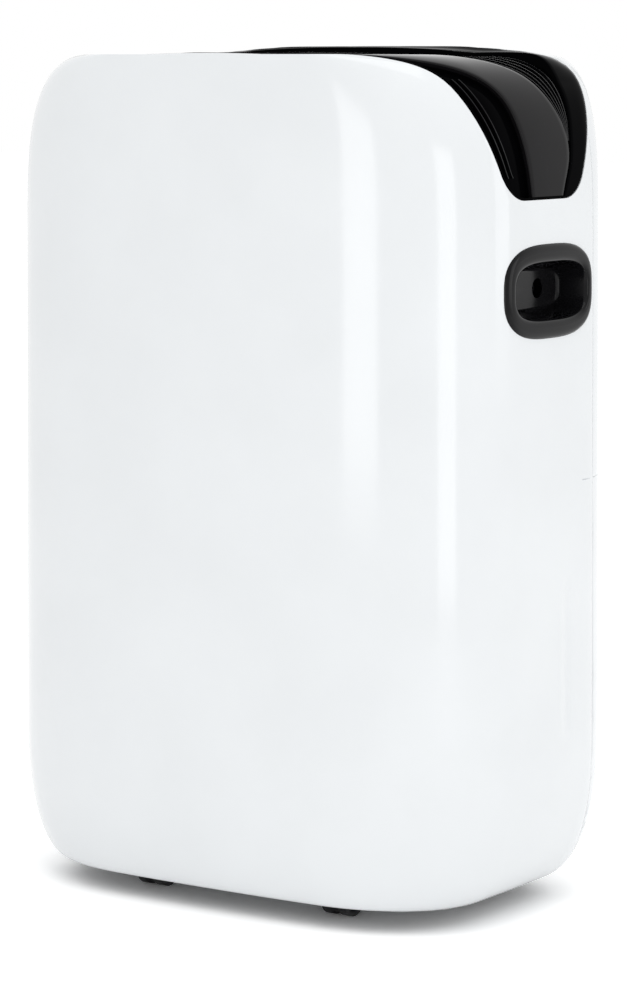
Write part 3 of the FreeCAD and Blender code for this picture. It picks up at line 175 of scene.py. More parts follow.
def arch_normals(y, rise):
    step = 0.002
    low = max(rise - step, 0.0)
    high = rise + step if rise < 1 or rise > 1 + step else rise
    up = on_arch(y, high) - on_arch(y, low)
    back = on_arch(np.asarray(y) + 0.2, rise) - on_arch(np.asarray(y) - 0.2, rise)
    normal = np.cross(back, up)
    return normal / np.linalg.norm(normal, axis=-1, keepdims=True)


def eased(share):
    share = min(max(share, 0.0), 1.0)
    return share * share * (3 - 2 * share)


print("outline at mid height reaches x", round(float(outline(300.0)[0].max()), 1))

# %% [markdown]
# ## The brow over the top
# Seen from in front the top is not quite the dome of the form: behind the air outlet it swells
# to a low brow that runs from one shoulder to the other. It is highest along the seam between the
# saddle and the rear shell, so both skins are raised there by the same amount.

# %% How high the crest and the brow stand above the form
crest_rises = (0.3, 0.83, 0.84, 0.86, 0.88, 0.90, 0.92, 0.94, 0.96, 0.98, 1.0, 1.1, 1.2, 1.3, 1.4, 1.6, 2.0)
crest_heights = (0, 0, 0.3, 1.4, 3.0, 4.2, 4.2, 3.4, 2.5, 1.9, 1.5, 1.2, 1.2, 1.4, 1.4, 1.2, 0.9)
brow_rises = (0.3, 0.90, 0.93, 0.96, 0.98, 1.0, 1.05, 1.1, 1.2, 1.3, 1.4, 1.6, 1.8, 2.0)
brow_heights = (0, 0, 0.6, 0.7, 1.7, 3.0, 3.6, 4.1, 4.7, 4.9, 4.5, 3.6, 3.1, 3.0)
brow_y = 88.0
brow_end_y = 120.0
brow_low_z = 560.0
flat_x = float(outline_at(1.0)[0].max())


def crest(rise):
    """Height along the front edge of the rear border."""
    return float(np.interp(rise, crest_rises, crest_heights))


def brow(rise):
    """Height along the seam between the saddle and the rear shell."""
    return float(np.interp(rise, brow_rises, brow_heights))


def with_brow(grid):
    """Raise a rear skin near the seam, fading out towards the back."""
    lifted = grid.copy()
    for index in np.ndindex(grid.shape[:2]):
        x, y, z = grid[index]
        if z < brow_low_z or y > brow_end_y:
            continue
        rise = 2 - abs(x) / flat_x if abs(x) < flat_x else wall_rise(z)
        height = brow(rise) * (1 - eased((y - brow_y) / (brow_end_y - brow_y)))
        if height > 0:
            lifted[index] += arch_normals(np.array([y]), rise)[0] * height * (1 if x >= 0 else -1, 1, 1)
    return lifted


print("the top is flat out to x", round(flat_x, 1))

# %% [markdown]
# ## Where the black saddle ends
# Seen from the side the saddle hangs down as a rounded tongue whose two edges spread as they
# rise. In front a lip follows the front shell's rim. Both curves are written with a gap, so
# that each skin can stop its own distance short of the seam.

# %% The tongue and the lip
tongue_low = 485.0
tongue_front = (-53.0, 2.8, 26.0)
tongue_rear = (35.0, 1.9, 30.0)
lip_half = 150.0
lip_sweep = 29.5
shell_wall = 2.5
lip_from_z = 568.0
tongue_steepness = 3.0
corner_blend = 14.0


def tongue_edge(y, gap):
    """Height of the tongue's edge at depth y."""
    result = None
    for sign, (start, slope, radius) in ((-1, tongue_front), (1, tongue_rear)):
        start = sign * start - gap
        radius = radius - gap
        run = sign * y
        length = sqrt(1 + slope * slope)
        reach = radius / tan((pi - np.arccos(1 / length)) / 2)
        centre = start - reach
        leave = start + reach / length
        leave_z = reach * slope / length
        arc = radius - np.sqrt(np.maximum(radius ** 2 - np.clip(run - centre, 0, None) ** 2, 0))
        line = leave_z + (run - leave) * slope
        edge = np.where(run > leave, line, arc)
        result = edge if result is None else np.maximum(result, edge)
    return tongue_low + gap + result


def lip_line(x):
    rim = -half_depth + front_draft + shell_wall + front_bow * (x / half_width) ** 2
    return rim + lip_sweep * (x / lip_half) ** 4


def in_saddle(point, gap):
    """The tongue and the lip flow into each other with a soft inside corner."""
    x, y, z = point[..., 0], point[..., 1], point[..., 2]
    tongue = (z - tongue_edge(y, gap)) / tongue_steepness
    lip = np.minimum(np.minimum(y - lip_line(x) - gap, z - lip_from_z), np.minimum(lip_half + 6 - x, -y))
    near = np.maximum(corner_blend - np.abs(tongue - lip), 0) / corner_blend
    return np.maximum(tongue, lip) + near ** 2 * corner_blend / 4 > 0


print("tongue edge at y 0:", float(tongue_edge(np.array(0.0), 0)), "lip at x 100:", round(lip_line(100), 1))

# %% [markdown]
# ## Laying a grid on the form
# A skin starts as Blender's flat grid. Its points are then laid on the form by their place in the
# rows and columns, which no chain of edit-mode steps could do this exactly. The wall is given
# its thickness by Solidify, its rims are softened by Bevel, and holes are cut by Boolean.

# %% Small helpers for meshes
def deselect():
    bpy.ops.object.select_all(action="DESELECT")


def activate(piece):
    deselect()
    piece.select_set(True)
    bpy.context.view_layer.objects.active = piece


def edit(piece, *steps):
    """Run operators on the whole mesh in edit mode, each given as (operator, settings)."""
    activate(piece)
    bpy.ops.object.mode_set(mode="EDIT")
    bpy.ops.mesh.select_all(action="SELECT")
    for operator, settings in steps:
        operator(**settings)
    bpy.ops.object.mode_set(mode="OBJECT")


def laid_grid(name, points):
    """A grid primitive whose points take the places in a table of rows by columns, in mm."""
    rows, columns = points.shape[:2]
    deselect()
    bpy.ops.mesh.primitive_grid_add(x_subdivisions=columns - 1, y_subdivisions=rows - 1, size=2)
    piece = bpy.context.object
    piece.name = piece.data.name = name
    flat = np.zeros(len(piece.data.vertices) * 3)
    piece.data.vertices.foreach_get("co", flat)
    flat = flat.reshape(-1, 3)
    column = np.rint((flat[:, 0] + 1) / 2 * (columns - 1)).astype(int)
    row = np.rint((flat[:, 1] + 1) / 2 * (rows - 1)).astype(int)
    piece.data.vertices.foreach_set("co", (points[row, column] * mm).ravel())
    piece.data.update()
    return piece


def weld(piece, reach=0.00001):
    edit(piece, (bpy.ops.mesh.remove_doubles, {"threshold": reach}))


def apply(piece, kind, **settings):
    activate(piece)
    modifier = piece.modifiers.new(kind, kind)
    for key, value in settings.items():
        setattr(modifier, key, value)
    bpy.ops.object.modifier_apply(modifier=modifier.name)


def smooth(piece, angle=32.0):
    activate(piece)
    bpy.ops.object.shade_smooth_by_angle(angle=radians(angle))


def cut(piece, tool):
    """Take one solid out of another; the tool is used up."""
    apply(piece, "BOOLEAN", object=tool, operation="DIFFERENCE", solver="EXACT")
    bpy.data.objects.remove(tool)


def block(name, low, high, corner=0.0):
    """A box between two corners in mm, its edges rounded if asked."""
    low, high = Vector(low), Vector(high)
    deselect()
    bpy.ops.mesh.primitive_cube_add(size=1, location=(0, 0, 0))
    piece = bpy.context.object
    piece.name = piece.data.name = name
    centre = (low + high) / 2
    for vertex in piece.data.vertices:
        vertex.co = Vector([centre[i] + vertex.co[i] * (high[i] - low[i]) for i in range(3)]) * mm
    if corner:
        edit(piece, (bpy.ops.mesh.bevel, {"offset": corner * mm, "segments": 3, "affect": "EDGES"}))
    return piece


def disc(name, centre, radius, height, axis="Z", sides=48):
    """A cylinder primitive in mm, standing on its centre along one axis."""
    turn = {"X": (0, pi / 2, 0), "Y": (pi / 2, 0, 0), "Z": (0, 0, 0)}[axis]
    deselect()
    bpy.ops.mesh.primitive_cylinder_add(
        vertices=sides, radius=radius * mm, depth=height * mm, location=Vector(centre) * mm, rotation=turn,
    )
    piece = bpy.context.object
    piece.name = piece.data.name = name
    bpy.ops.object.transform_apply(location=True, rotation=True, scale=True)
    return piece


def joined(name, pieces):
    deselect()
    for piece in pieces:
        piece.select_set(True)
    bpy.context.view_layer.objects.active = pieces[0]
    if len(pieces) > 1:
        bpy.ops.object.join()
    piece = bpy.context.object
    piece.name = piece.data.name = name
    return piece


def mirrored(piece, name):
    """A copy on the other side, with its faces turned back outwards."""
    twin = piece.copy()
    twin.data = piece.data.copy()
    twin.name = twin.data.name = name
    bpy.context.collection.objects.link(twin)
    for vertex in twin.data.vertices:
        vertex.co.x = -vertex.co.x
    edit(twin, (bpy.ops.mesh.flip_normals, {}))
    return twin


# %% Keeping track of what was made
made = []


def place(piece, body, slot, replaces=(), material=None):
    """Tie a finished piece to its moving body, its finish and the nodes it stands for."""
    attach(piece, body)
    if replaces:
        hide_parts(*replaces)
    made.append((piece, material or slot))
    print(piece.name, "rides on", body, "with", len(piece.data.polygons), "faces")

# %% [markdown]
# ## The white shells
# The real shells are injection moulded in white ABS, about 2.5 mm thick, with a mirror-like
# finish. Each is laid out as columns that follow the plan and climb until they meet the saddle.
# Where a column reaches the flat top it turns over the edge and runs on to the lip.

# %% Columns of a shell
seam_y = 58.0
seam_gap = 0.4
table_steps = 400


def wall_table(front, columns):
    """Places of the columns at many rises, from the middle of the plan to the side seam."""
    table = np.zeros((table_steps + 1, columns, 3))
    for step in range(table_steps + 1):
        rise = step / table_steps
        x, y = outline(wall_height(rise))
        keep = y < seam_y if front else y > seam_y + seam_gap
        seam = seam_y if front else seam_y + seam_gap
        last = len(x) - 29
        seam_x = np.interp(seam, y[:last], x[:last])
        if front:
            x, y = np.append(x[keep], seam_x), np.append(y[keep], seam)
        else:
            x, y = np.append(x[keep][::-1], seam_x), np.append(y[keep][::-1], seam)
        run = np.concatenate([[0], np.cumsum(np.hypot(np.diff(x), np.diff(y)))])
        share = np.linspace(0, run[-1], columns)
        table[step, :, 0] = np.interp(share, run, x)
        table[step, :, 1] = np.interp(share, run, y)
        table[step, :, 2] = wall_height(rise)
    return table


def column_point(table, column, rise):
    if rise <= 1:
        exact = rise * table_steps
        low = min(int(exact), table_steps - 1)
        return table[low, column] + (table[low + 1, column] - table[low, column]) * (exact - low)
    x, y, z = table[-1, column]
    y = y * (2 - rise)
    return np.array([x, y, float(top_height(x, y))])


def column_end(table, column, gap):
    """The rise at which a column meets the saddle."""
    last = 0.0
    for rise in np.linspace(0.6, 1.999, 300):
        if in_saddle(column_point(table, column, rise), gap):
            break
        last = rise
    low, high = last, rise
    for _ in range(30):
        middle = (low + high) / 2
        if in_saddle(column_point(table, column, middle), gap):
            high = middle
        else:
            low = middle
    return low


def shell_grid(table, start_z, rows, top_rows, end_z=None, foot_lip=0.0):
    """Rows by columns of the right half, then the left half mirrored onto it."""
    columns = table.shape[1]
    start = wall_rise(start_z)
    grid = np.zeros((rows + top_rows, columns, 3))
    for column in range(columns):
        end = wall_rise(end_z) if end_z else column_end(table, column, 0.0)
        wall_stop = min(end, 1.0)
        for row in range(rows):
            grid[row, column] = column_point(table, column, start + (wall_stop - start) * row / (rows - 1))
        for row in range(top_rows):
            share = (row + 1) / top_rows
            grid[rows + row, column] = column_point(table, column, wall_stop + (end - wall_stop) * share)
    if foot_lip:
        lip = grid[0].copy()
        reach = np.linalg.norm(lip[:, :2], axis=1, keepdims=True)
        lip[:, :2] *= 1 - foot_lip / reach
        grid = np.concatenate([lip[None], grid])
    left = grid[:, :0:-1].copy()
    left[..., 0] *= -1
    return np.concatenate([left, grid], axis=1)


def shell_skin(name, grid, soften=0.7):
    piece = laid_grid(name, grid)
    weld(piece)
    centre = sum((p.center for p in piece.data.polygons), Vector()) / len(piece.data.polygons)
    outward = sum((p.normal.dot(p.center - centre) for p in piece.data.polygons))
    if outward < 0:
        edit(piece, (bpy.ops.mesh.flip_normals, {}))
    apply(piece, "SOLIDIFY", thickness=shell_wall * mm, offset=-1.0, use_even_offset=True)
    apply(
        piece, "BEVEL", width=soften * mm, segments=2, limit_method="ANGLE", angle_limit=radians(50),
        use_clamp_overlap=True,
    )
    return piece


# %% The front shell
front_table = wall_table(True, 104)
front_shell = shell_skin("front_shell", shell_grid(front_table, low_z, 84, 5, foot_lip=4.0))
print("front shell box", [round(v, 3) for v in front_shell.dimensions])

# %% [markdown]
# Both sides carry a shallow upright groove for the fingers, a slit that carries the tank's seam
# forward, and the hole for the grip pocket. The groove is a dent pressed into the points. The
# slit is a shallow cut, and the hole goes right through.

# %% Groove, slit and grip hole
groove_y = 20.0
groove_z = 174.0
groove_half_length = 59.0
groove_depth = 1.3
groove_round = 14.0
slit_z = 294.4
slit_half = 0.4
slit_depth = 0.6
slit_y = (seam_y - 17, seam_y + 5)
past_wall = 12.0
grip_y = -2.5
grip_z = 424.6
hole_size = (51.5, 25.0, 3.1)
hole_shift = 1.0


def round_loop(half_a, half_b, power, count=96):
    """Evenly spaced points round a superellipse, between an ellipse and a rectangle."""
    turn = np.linspace(0, 2 * pi, 1441)
    a = half_a * np.sign(np.cos(turn)) * np.abs(np.cos(turn)) ** (2 / power)
    b = half_b * np.sign(np.sin(turn)) * np.abs(np.sin(turn)) ** (2 / power)
    along = np.concatenate([[0], np.cumsum(np.hypot(np.diff(a), np.diff(b)))])
    even = np.linspace(0, along[-1], count + 1)
    loop = list(zip(np.interp(even, along, a), np.interp(even, along, b)))
    return loop[:-1] + loop[:1]


def side_x(y, z):
    return float(on_arch(np.array([y]), wall_rise(z))[0, 0])


def press_groove(piece):
    flat = np.zeros(len(piece.data.vertices) * 3)
    piece.data.vertices.foreach_get("co", flat)
    points = flat.reshape(-1, 3)
    across = points[:, 1] / mm - groove_y
    along = np.maximum(np.abs(points[:, 2] / mm - groove_z) - (groove_half_length - groove_round), 0)
    away = np.hypot(across, along)
    bowl = groove_round - np.sqrt(np.maximum(groove_round ** 2 - away ** 2, 0))
    dent = np.maximum(groove_depth - bowl, 0)
    dent = np.where(away < groove_round, dent, 0)
    points[:, 0] -= np.sign(points[:, 0]) * dent * mm
    piece.data.vertices.foreach_set("co", points.ravel())
    piece.data.update()


press_groove(front_shell)
for side in (-1, 1):
    loop = round_loop(*hole_size)
    hole = np.array([
        [(side * x, grip_y + hole_shift + y, grip_z + z) for y, z in loop]
        for x in (half_width - 25, half_width + past_wall)
    ])
    hole_tool = laid_grid("hole_tool", hole)
    weld(hole_tool)
    edit(hole_tool, (bpy.ops.mesh.fill_holes, {"sides": 0}), (bpy.ops.mesh.normals_make_consistent, {}))
    cut(front_shell, hole_tool)
    slit_floor = side_x(seam_y - 8, slit_z) - slit_depth
    low_x, high_x = sorted((side * slit_floor, side * (half_width + past_wall)))
    slit_low, slit_high = (low_x, slit_y[0], slit_z - slit_half), (high_x, slit_y[1], slit_z + slit_half)
    cut(front_shell, block("slit_tool", slit_low, slit_high))
smooth(front_shell)
place(front_shell, "cabinet", "white_gloss", ("front_cover",))

# %% The rear shell, with its window for the intake
window_half = 116.0
window_z = (318.0, 548.0)
screw_places = [(106.0, 307.0), (-106.0, 307.0), (106.0, 562.0), (-106.0, 562.0)]
rear_table = wall_table(False, 64)
rear_shell = shell_skin("rear_shell", with_brow(shell_grid(rear_table, 294.4, 54, 14)))
window_low = (-window_half, half_depth - 10, window_z[0])
window_high = (window_half, half_depth + 5, window_z[1])
tools = [block("window", window_low, window_high)]
for x, z in screw_places:
    tools.append(disc("recess", (x, half_depth + 1.9, z), 4.2, 6.2, "Y"))
    tools.append(disc("bore", (x, half_depth, z), 2.1, 12, "Y"))
tools.append(disc("inlet", (-80, half_depth, 308.2), 8.0, 20, "Y"))
tools.append(disc("outlet", (80, half_depth, 306.0), 6.3, 20, "Y"))
for tool in tools:
    cut(rear_shell, tool)
smooth(rear_shell)
place(rear_shell, "cabinet", "white_gloss", ("rear_cover",))

# %% The skirt under the tank
skirt_table = wall_table(False, 64)
skirt = shell_skin("tank_skirt", shell_grid(skirt_table, low_z, 12, 1, end_z=49.6, foot_lip=4.0))
smooth(skirt)
place(skirt, "cabinet", "white_gloss", ("rear_skirt",))

# %% [markdown]
# ## The black saddle
# The saddle is one moulding in piano black. Its cross-section from front to back hardly
# changes along the arch: a thin rim, a groove, the bed of the control band, the deep recess of
# the air outlet and a smooth border. So it is made as a section swept along the arch, from the
# tip of one tongue over the top to the other, and every edge line is a row of points.

# %% Edge lines of the band and of the air outlet
crown_z = high_z + crown_rise
middle_q = -crown_z
band_front_points = [
    (middle_q - 20, -117), (middle_q, -117), (middle_q + 100, -112), (-451, -97), (-415, -69.5),
    (-394, -53), (-374, -41.5), (-348, -34.5), (-322, -29.5), (-270, -23),
]
rear_q = [
    middle_q - 20, middle_q, middle_q + 100, -448, -432, -414, -390, -371, -349, -330, -316, -300, -270,
]
band_rear_points = list(zip(rear_q, (-62, -62, -53, -39, -27, -10, 7, 15.5, 23.5, 27.5, 26, 19, 9)))
outlet_rear_points = list(zip(rear_q, (54, 54, 53, 51, 49.5, 47, 43.5, 40, 35.5, 31, 28, 20.5, 10.5)))


def smooth_line(points):
    """A natural cubic through points (q, y), as a function of q."""
    q = np.array([p[0] for p in points], float)
    y = np.array([p[1] for p in points], float)
    gap = np.diff(q)
    count = len(q)
    system = np.eye(count)
    right = np.zeros(count)
    for i in range(1, count - 1):
        system[i, i - 1:i + 2] = gap[i - 1], 2 * (gap[i - 1] + gap[i]), gap[i]
        right[i] = 6 * ((y[i + 1] - y[i]) / gap[i] - (y[i] - y[i - 1]) / gap[i - 1])
    bend = np.linalg.solve(system, right)

    def value(at):
        at = min(max(at, q[0]), q[-1])
        i = min(max(int(np.searchsorted(q, at)) - 1, 0), count - 2)
        after, before = q[i + 1] - at, at - q[i]
        return float(
            (bend[i] * after ** 3 + bend[i + 1] * before ** 3) / (6 * gap[i])
            + (y[i] / gap[i] - bend[i] * gap[i] / 6) * after
            + (y[i + 1] / gap[i] - bend[i + 1] * gap[i] / 6) * before
        )

    return value


band_front = smooth_line(band_front_points)
band_rear = smooth_line(band_rear_points)
outlet_rear = smooth_line(outlet_rear_points)


def follow(line, rise):
    """Depth y at which an edge line crosses the arch at a rise."""
    y = line(-400.0)
    for _ in range(8):
        x, _, z = on_arch(np.array([y]), rise)[0]
        y = line(x - z)
    return y


def saddle_edge(rise, gap, front):
    """Depth y of the saddle's front or rear edge at a rise."""
    inside, outside = -8.0, (-122.0 if front else 122.0)
    for _ in range(34):
        middle = (inside + outside) / 2
        if in_saddle(on_arch(np.array([middle]), rise)[0], gap):
            inside = middle
        else:
            outside = middle
    return inside


print("band crosses the middle from", band_front(middle_q), "to", band_rear(middle_q))

# %% Stations along the arch
rim = 1.2
tip_z = tongue_low + seam_gap + 0.02
recess_z = tongue_low + seam_gap + rim + 0.05


def stations(from_z, count=40, over_top=14):
    """Rises from a height on the tongue up to the middle of the top."""
    near = [z for z in (488, 489.2, 491, 493, 495.5, 498.5, 502, 506, 510.5, 515, 520) if z > from_z + 0.4]
    rises = [wall_rise(z) for z in [from_z] + near]
    first = rises[-1]
    rises += [first + (1 - first) * step / count for step in range(1, count + 1)]
    return rises + [1 + step / over_top for step in range(1, over_top + 1)]


def swept(name, sections, closed=True):
    """Sections are (rise, [(y, depth), ...]) up the right half; the left half is mirrored on."""
    rows = []
    for rise, section in sections:
        y = np.array([p[0] for p in section])
        depth = np.array([p[1] for p in section])
        points = on_arch(y, rise) - arch_normals(y, rise) * depth[:, None]
        if rise >= 2:
            points[:, 0] = 0
        rows.append(np.concatenate([points, points[:1]]) if closed else points)
    right = np.array(rows)
    if sections[-1][0] >= 2:
        left = right[-2::-1].copy()
        left[..., 0] *= -1
        right = np.concatenate([right, left])
    piece = laid_grid(name, right)
    weld(piece)
    edit(
        piece, (bpy.ops.mesh.fill_holes, {"sides": 0}),
        (bpy.ops.mesh.normals_make_consistent, {"inside": False}),
    )
    return piece


def sink(rise):
    """How far the band and its bed lie under the form over the top; nothing on the shoulders."""
    return 2.4 * eased((rise - 0.95) / 0.3)


def spread(start, end, count):
    """Depths y strictly between two edges."""
    return [start + (end - start) * step / (count + 1) for step in range(1, count + 1)]


# %% The saddle's section
saddle_thick = 11.0
groove_deep = 5.0
bed_deep = 3.05
outlet_deep = 9.0
edge_round = 0.7


def saddle_section(rise, open_recess):
    a = saddle_edge(rise, seam_gap, True)
    g = saddle_edge(rise, seam_gap, False)
    b = max(saddle_edge(rise, seam_gap + rim, True), a + rim)
    f = min(saddle_edge(rise, seam_gap + rim, False), g - rim)
    c = min(max(follow(band_front, rise), b + 0.05), f - 0.3)
    d = min(max(follow(band_rear, rise), c + 0.1), f - 0.2)
    e = min(max(follow(outlet_rear, rise), d + 0.1), f - 0.1)
    r = edge_round
    low = sink(rise)
    groove, bed, outlet = (groove_deep + low, bed_deep + low, outlet_deep) if open_recess else (0.0, 0.0, 0.0)
    high, rear_high = (crest(rise), brow(rise)) if open_recess else (0.0, 0.0)
    lip = 0.35 if open_recess else 0.0
    back = min(0.8, (g - e) / 3) if open_recess else 0.3
    section = [(a, saddle_thick), (a, r), (a + 0.3 * r, 0.3 * r), (a + r, 0)]
    section += [(b - lip, 0), (b - 0.3 * lip, 0.3 * lip), (b, lip), (b, groove)]
    section += [(y, groove) for y in spread(b, c, 6)]
    section += [(c, groove), (c, bed)] + [(y, bed) for y in spread(c, d, 6)] + [(d, bed), (d, outlet)]
    section += [(y, outlet) for y in spread(d, e, 8)]
    section += [(e, outlet), (e, back - high if open_recess else 0)]
    section += [(e + 0.3 * back, 0.3 * back - high if open_recess else 0)]
    for y in [e + back] + spread(e + back, g - r, 7):
        share = (y - e) / (g - e)
        section.append((y, -high * (1 - share ** 2) - rear_high * share ** 3.5))
    section += [(g - r, -rear_high), (g - 0.3 * r, 0.3 * r - rear_high), (g, r - rear_high)]
    section += [(g, saddle_thick)]
    section += [(y, saddle_thick) for y in spread(g, a, 20)]
    return section


sections = [(wall_rise(tip_z), saddle_section(wall_rise(tip_z), False))]
sections.append((wall_rise(recess_z), saddle_section(wall_rise(recess_z), False)))
sections += [(rise, saddle_section(rise, True)) for rise in stations(recess_z + 0.02)]
saddle = swept("saddle_moulding", sections)
cut(saddle, block("outlet_tool", (-92, -50, 540), (92, 40, 590)))
cut(saddle, block("pocket_tool", (-64, -112, crown_z - 11.2), (64, -70, 590)))
smooth(saddle, 38)
place(saddle, "cabinet", "black_gloss", ("saddle",))

# %% [markdown]
# ## The control band
# The band is a smoked gloss strip let into the saddle. It is wide over the top, where the keys
# and the display are, and narrows to a ribbon down each shoulder. It is swept along the same
# arch with softened edges, then bored for the keys and opened for the display.

# %% The band
fit_gap = 0.3
band_thick = 2.95


def band_section(rise):
    b = saddle_edge(rise, seam_gap + rim, True)
    f = saddle_edge(rise, seam_gap + rim, False)
    start = min(max(follow(band_front, rise), b), f - 1.5) + fit_gap
    end = min(follow(band_rear, rise), f - 0.1) - fit_gap
    r = min(0.9, (end - start) / 3)
    low = sink(rise)
    section = [(start, band_thick), (start, r), (start + 0.13 * r, 0.5 * r)]
    section += [(start + 0.5 * r, 0.13 * r), (start + r, 0)]
    section += [(y, 0) for y in spread(start + r, end - r, 12)]
    section += [(end - r, 0), (end - 0.5 * r, 0.13 * r), (end - 0.13 * r, 0.5 * r), (end, r)]
    section += [(end, band_thick)]
    section += [(y, band_thick) for y in spread(end, start, 14)]
    return [(y, depth + low) for y, depth in section]


band = swept("control_band", [(rise, band_section(rise)) for rise in stations(recess_z + 0.4)])
key_names = ["power", "mode", "fan", "timer", "humidity"]
key_y = -82.0
key_pitch = 24.0
key_radius = 6.5
key_x = {name: (i - 2) * key_pitch for i, name in enumerate(key_names)}
for name in key_names:
    cut(band, disc("bore", (key_x[name], key_y, crown_z), key_radius + 0.3, 20))
cut(band, block("lens_tool", (-26.3, -109.8, crown_z - 12), (26.3, -96.2, crown_z + 5), 3.0))
smooth(band, 38)
place(band, "cabinet", "smoke_gloss", ("top_band",))

# %% [markdown]
# ## The fins of the air outlet
# Thin curved fins stand in the outlet recess and close up towards both shoulders, so that
# from the side they read as fine lines. Each is the same small section swept along its own line
# between the two edges of the recess.

# %% Fins and ribs
fin_count = 5
fin_half = 0.8
fin_low_z = 523.0
fin_top = 1.2


def fin_section(y, deep, low=0.0):
    soft = 0.45
    top = fin_top + low
    return [
        (y - fin_half, deep), (y - fin_half, top + soft), (y - fin_half + soft, top),
        (y + fin_half - soft, top), (y + fin_half, top + soft), (y + fin_half, deep),
    ]


def highlight_strip_section(y, low=0.0):
    """A thin strip along the top of a fin or rib, a few hundredths proud of it, in a lighter and more
    reflective black: a painted highlight.
    """
    top = fin_top + low
    return [(y - 0.3, top + 0.1), (y - 0.3, top - 0.05), (y + 0.3, top - 0.05), (y + 0.3, top + 0.1)]


fins = []
edges = []
for number in range(1, fin_count + 1):
    share = number / (fin_count + 1)
    line = smooth_line([
        (q, y0 + (y1 - y0) * share)
        for (q, y0), (_, y1) in list(zip(band_rear_points, outlet_rear_points))[:10]
    ])
    rises = [rise for rise in stations(fin_low_z, 44, 12)]
    fins.append(swept("fin", [(rise, fin_section(follow(line, rise), 8.8, sink(rise))) for rise in rises]))
    # Each fin gets a top strip that carries a painted highlight.
    edges.append(swept("edge", [(rise, highlight_strip_section(follow(line, rise), sink(rise))) for rise in rises]))
outlet_fins = joined("outlet_fins", fins)
smooth(outlet_fins, 50)
place(outlet_fins, "cabinet", "black_gloss", ("rear_louvre",), "louvre_gloss")

ribs = []
for step in (3.0, 6.5):
    rises = [rise for rise in stations(500.0, 60, 12) if wall_height(min(rise, 1.0)) < 565]
    gap = seam_gap + rim + step
    rib = [(rise, fin_section(saddle_edge(rise, gap, True) + 0.8, 4.9)) for rise in rises]
    right = swept("rib", rib)
    ribs += [right, mirrored(right, "rib_left")]
    # The ribs get the same top strip with a painted highlight.
    right = swept("edge", [(rise, highlight_strip_section(saddle_edge(rise, gap, True) + 0.8)) for rise in rises])
    edges += [right, mirrored(right, "highlight_strip_left")]
front_ribs = joined("front_ribs", ribs)
smooth(front_ribs, 50)
place(front_ribs, "cabinet", "black_gloss", ("front_louvre",), "louvre_gloss")
# All the strips with the painted highlight along the fin and rib tops.
fin_highlight_strips = joined("fin_highlight_strips", edges)
place(fin_highlight_strips, "cabinet", "black_gloss", (), "painted_highlight_gloss")

# %% [markdown]
# ## The side grips
# Each grip is a black gloss cup with a broad rounded frame round its mouth. On the real one it
# snaps into the shell and is held by a screw in its floor. It is made as nested rounded
# rectangles, from the outer edge of the frame over its crest, down the tapered wall and across
# the floor.

# %% One grip, then its twin
frame_size = (55.7, 31.3, 3.0)
mouth_size = (46.5, 19.2, 3.2)
floor_size = (41.0, 14.0, 3.8)
mouth_shift = 2.5
frame_proud = 1.8
pocket_x = half_width - 22.0


def blend_size(first, second, share):
    return tuple(p + (q - p) * share for p, q in zip(first, second))


rows = []
frame_steps = 14
for step in range(frame_steps + 1):
    share = step / frame_steps
    across = share * 2 - 1
    height = frame_proud * (1 - abs(across) ** 3.2) ** 0.7 if abs(across) < 1 else 0.0
    loop = [(y + mouth_shift * share, z) for y, z in round_loop(*blend_size(frame_size, mouth_size, share))]
    rows.append([(side_x(grip_y + y, grip_z + z) + height + 0.05, grip_y + y, grip_z + z) for y, z in loop])
wall_steps = 8
for step in range(1, wall_steps + 1):
    share = step / wall_steps
    loop = [(y + mouth_shift, z) for y, z in round_loop(*blend_size(mouth_size, floor_size, share * 0.9))]
    rows.append([
        (side_x(grip_y + y, grip_z + z) * (1 - share) + (pocket_x + 3.0) * share, grip_y + y, grip_z + z)
        for y, z in loop
    ])
for step in range(1, 6):
    turn = pi / 2 * step / 5
    inset = 3.0 * (1 - cos(turn))
    loop = round_loop(floor_size[0] + 0.5 - inset, floor_size[1] + 0.4 - inset, floor_size[2])
    rows.append([(pocket_x + 3.0 * (1 - sin(turn)), grip_y + mouth_shift + y, grip_z + z) for y, z in loop])
rows.append([(pocket_x, grip_y + mouth_shift, grip_z)] * len(rows[0]))
grip = laid_grid("grip_right", np.array(rows))
weld(grip)
if max(grip.data.polygons, key=lambda p: p.center.x).normal.x < 0:
    edit(grip, (bpy.ops.mesh.flip_normals, {}))
apply(grip, "SOLIDIFY", thickness=1.3 * mm, offset=-1.0, use_even_offset=False)
screw_y = 15.0
seat_radius = 6.7
seat_deep = 6.0
cut(grip, disc("screw_seat", (pocket_x + 0.4, screw_y, grip_z), seat_radius, 5.0, "X"))
smooth(grip, 40)
grip_left = mirrored(grip, "grip_left")
smooth(grip_left, 40)
place(grip, "cabinet", "black_gloss", ("handle_right",), "grip_gloss")
place(grip_left, "cabinet", "black_gloss", ("handle_left",), "grip_gloss")

# %% [markdown]
# The screw sits at the bottom of a deep round seat, so all that shows is a dark hole. A cross
# recess is cut into its low domed head.

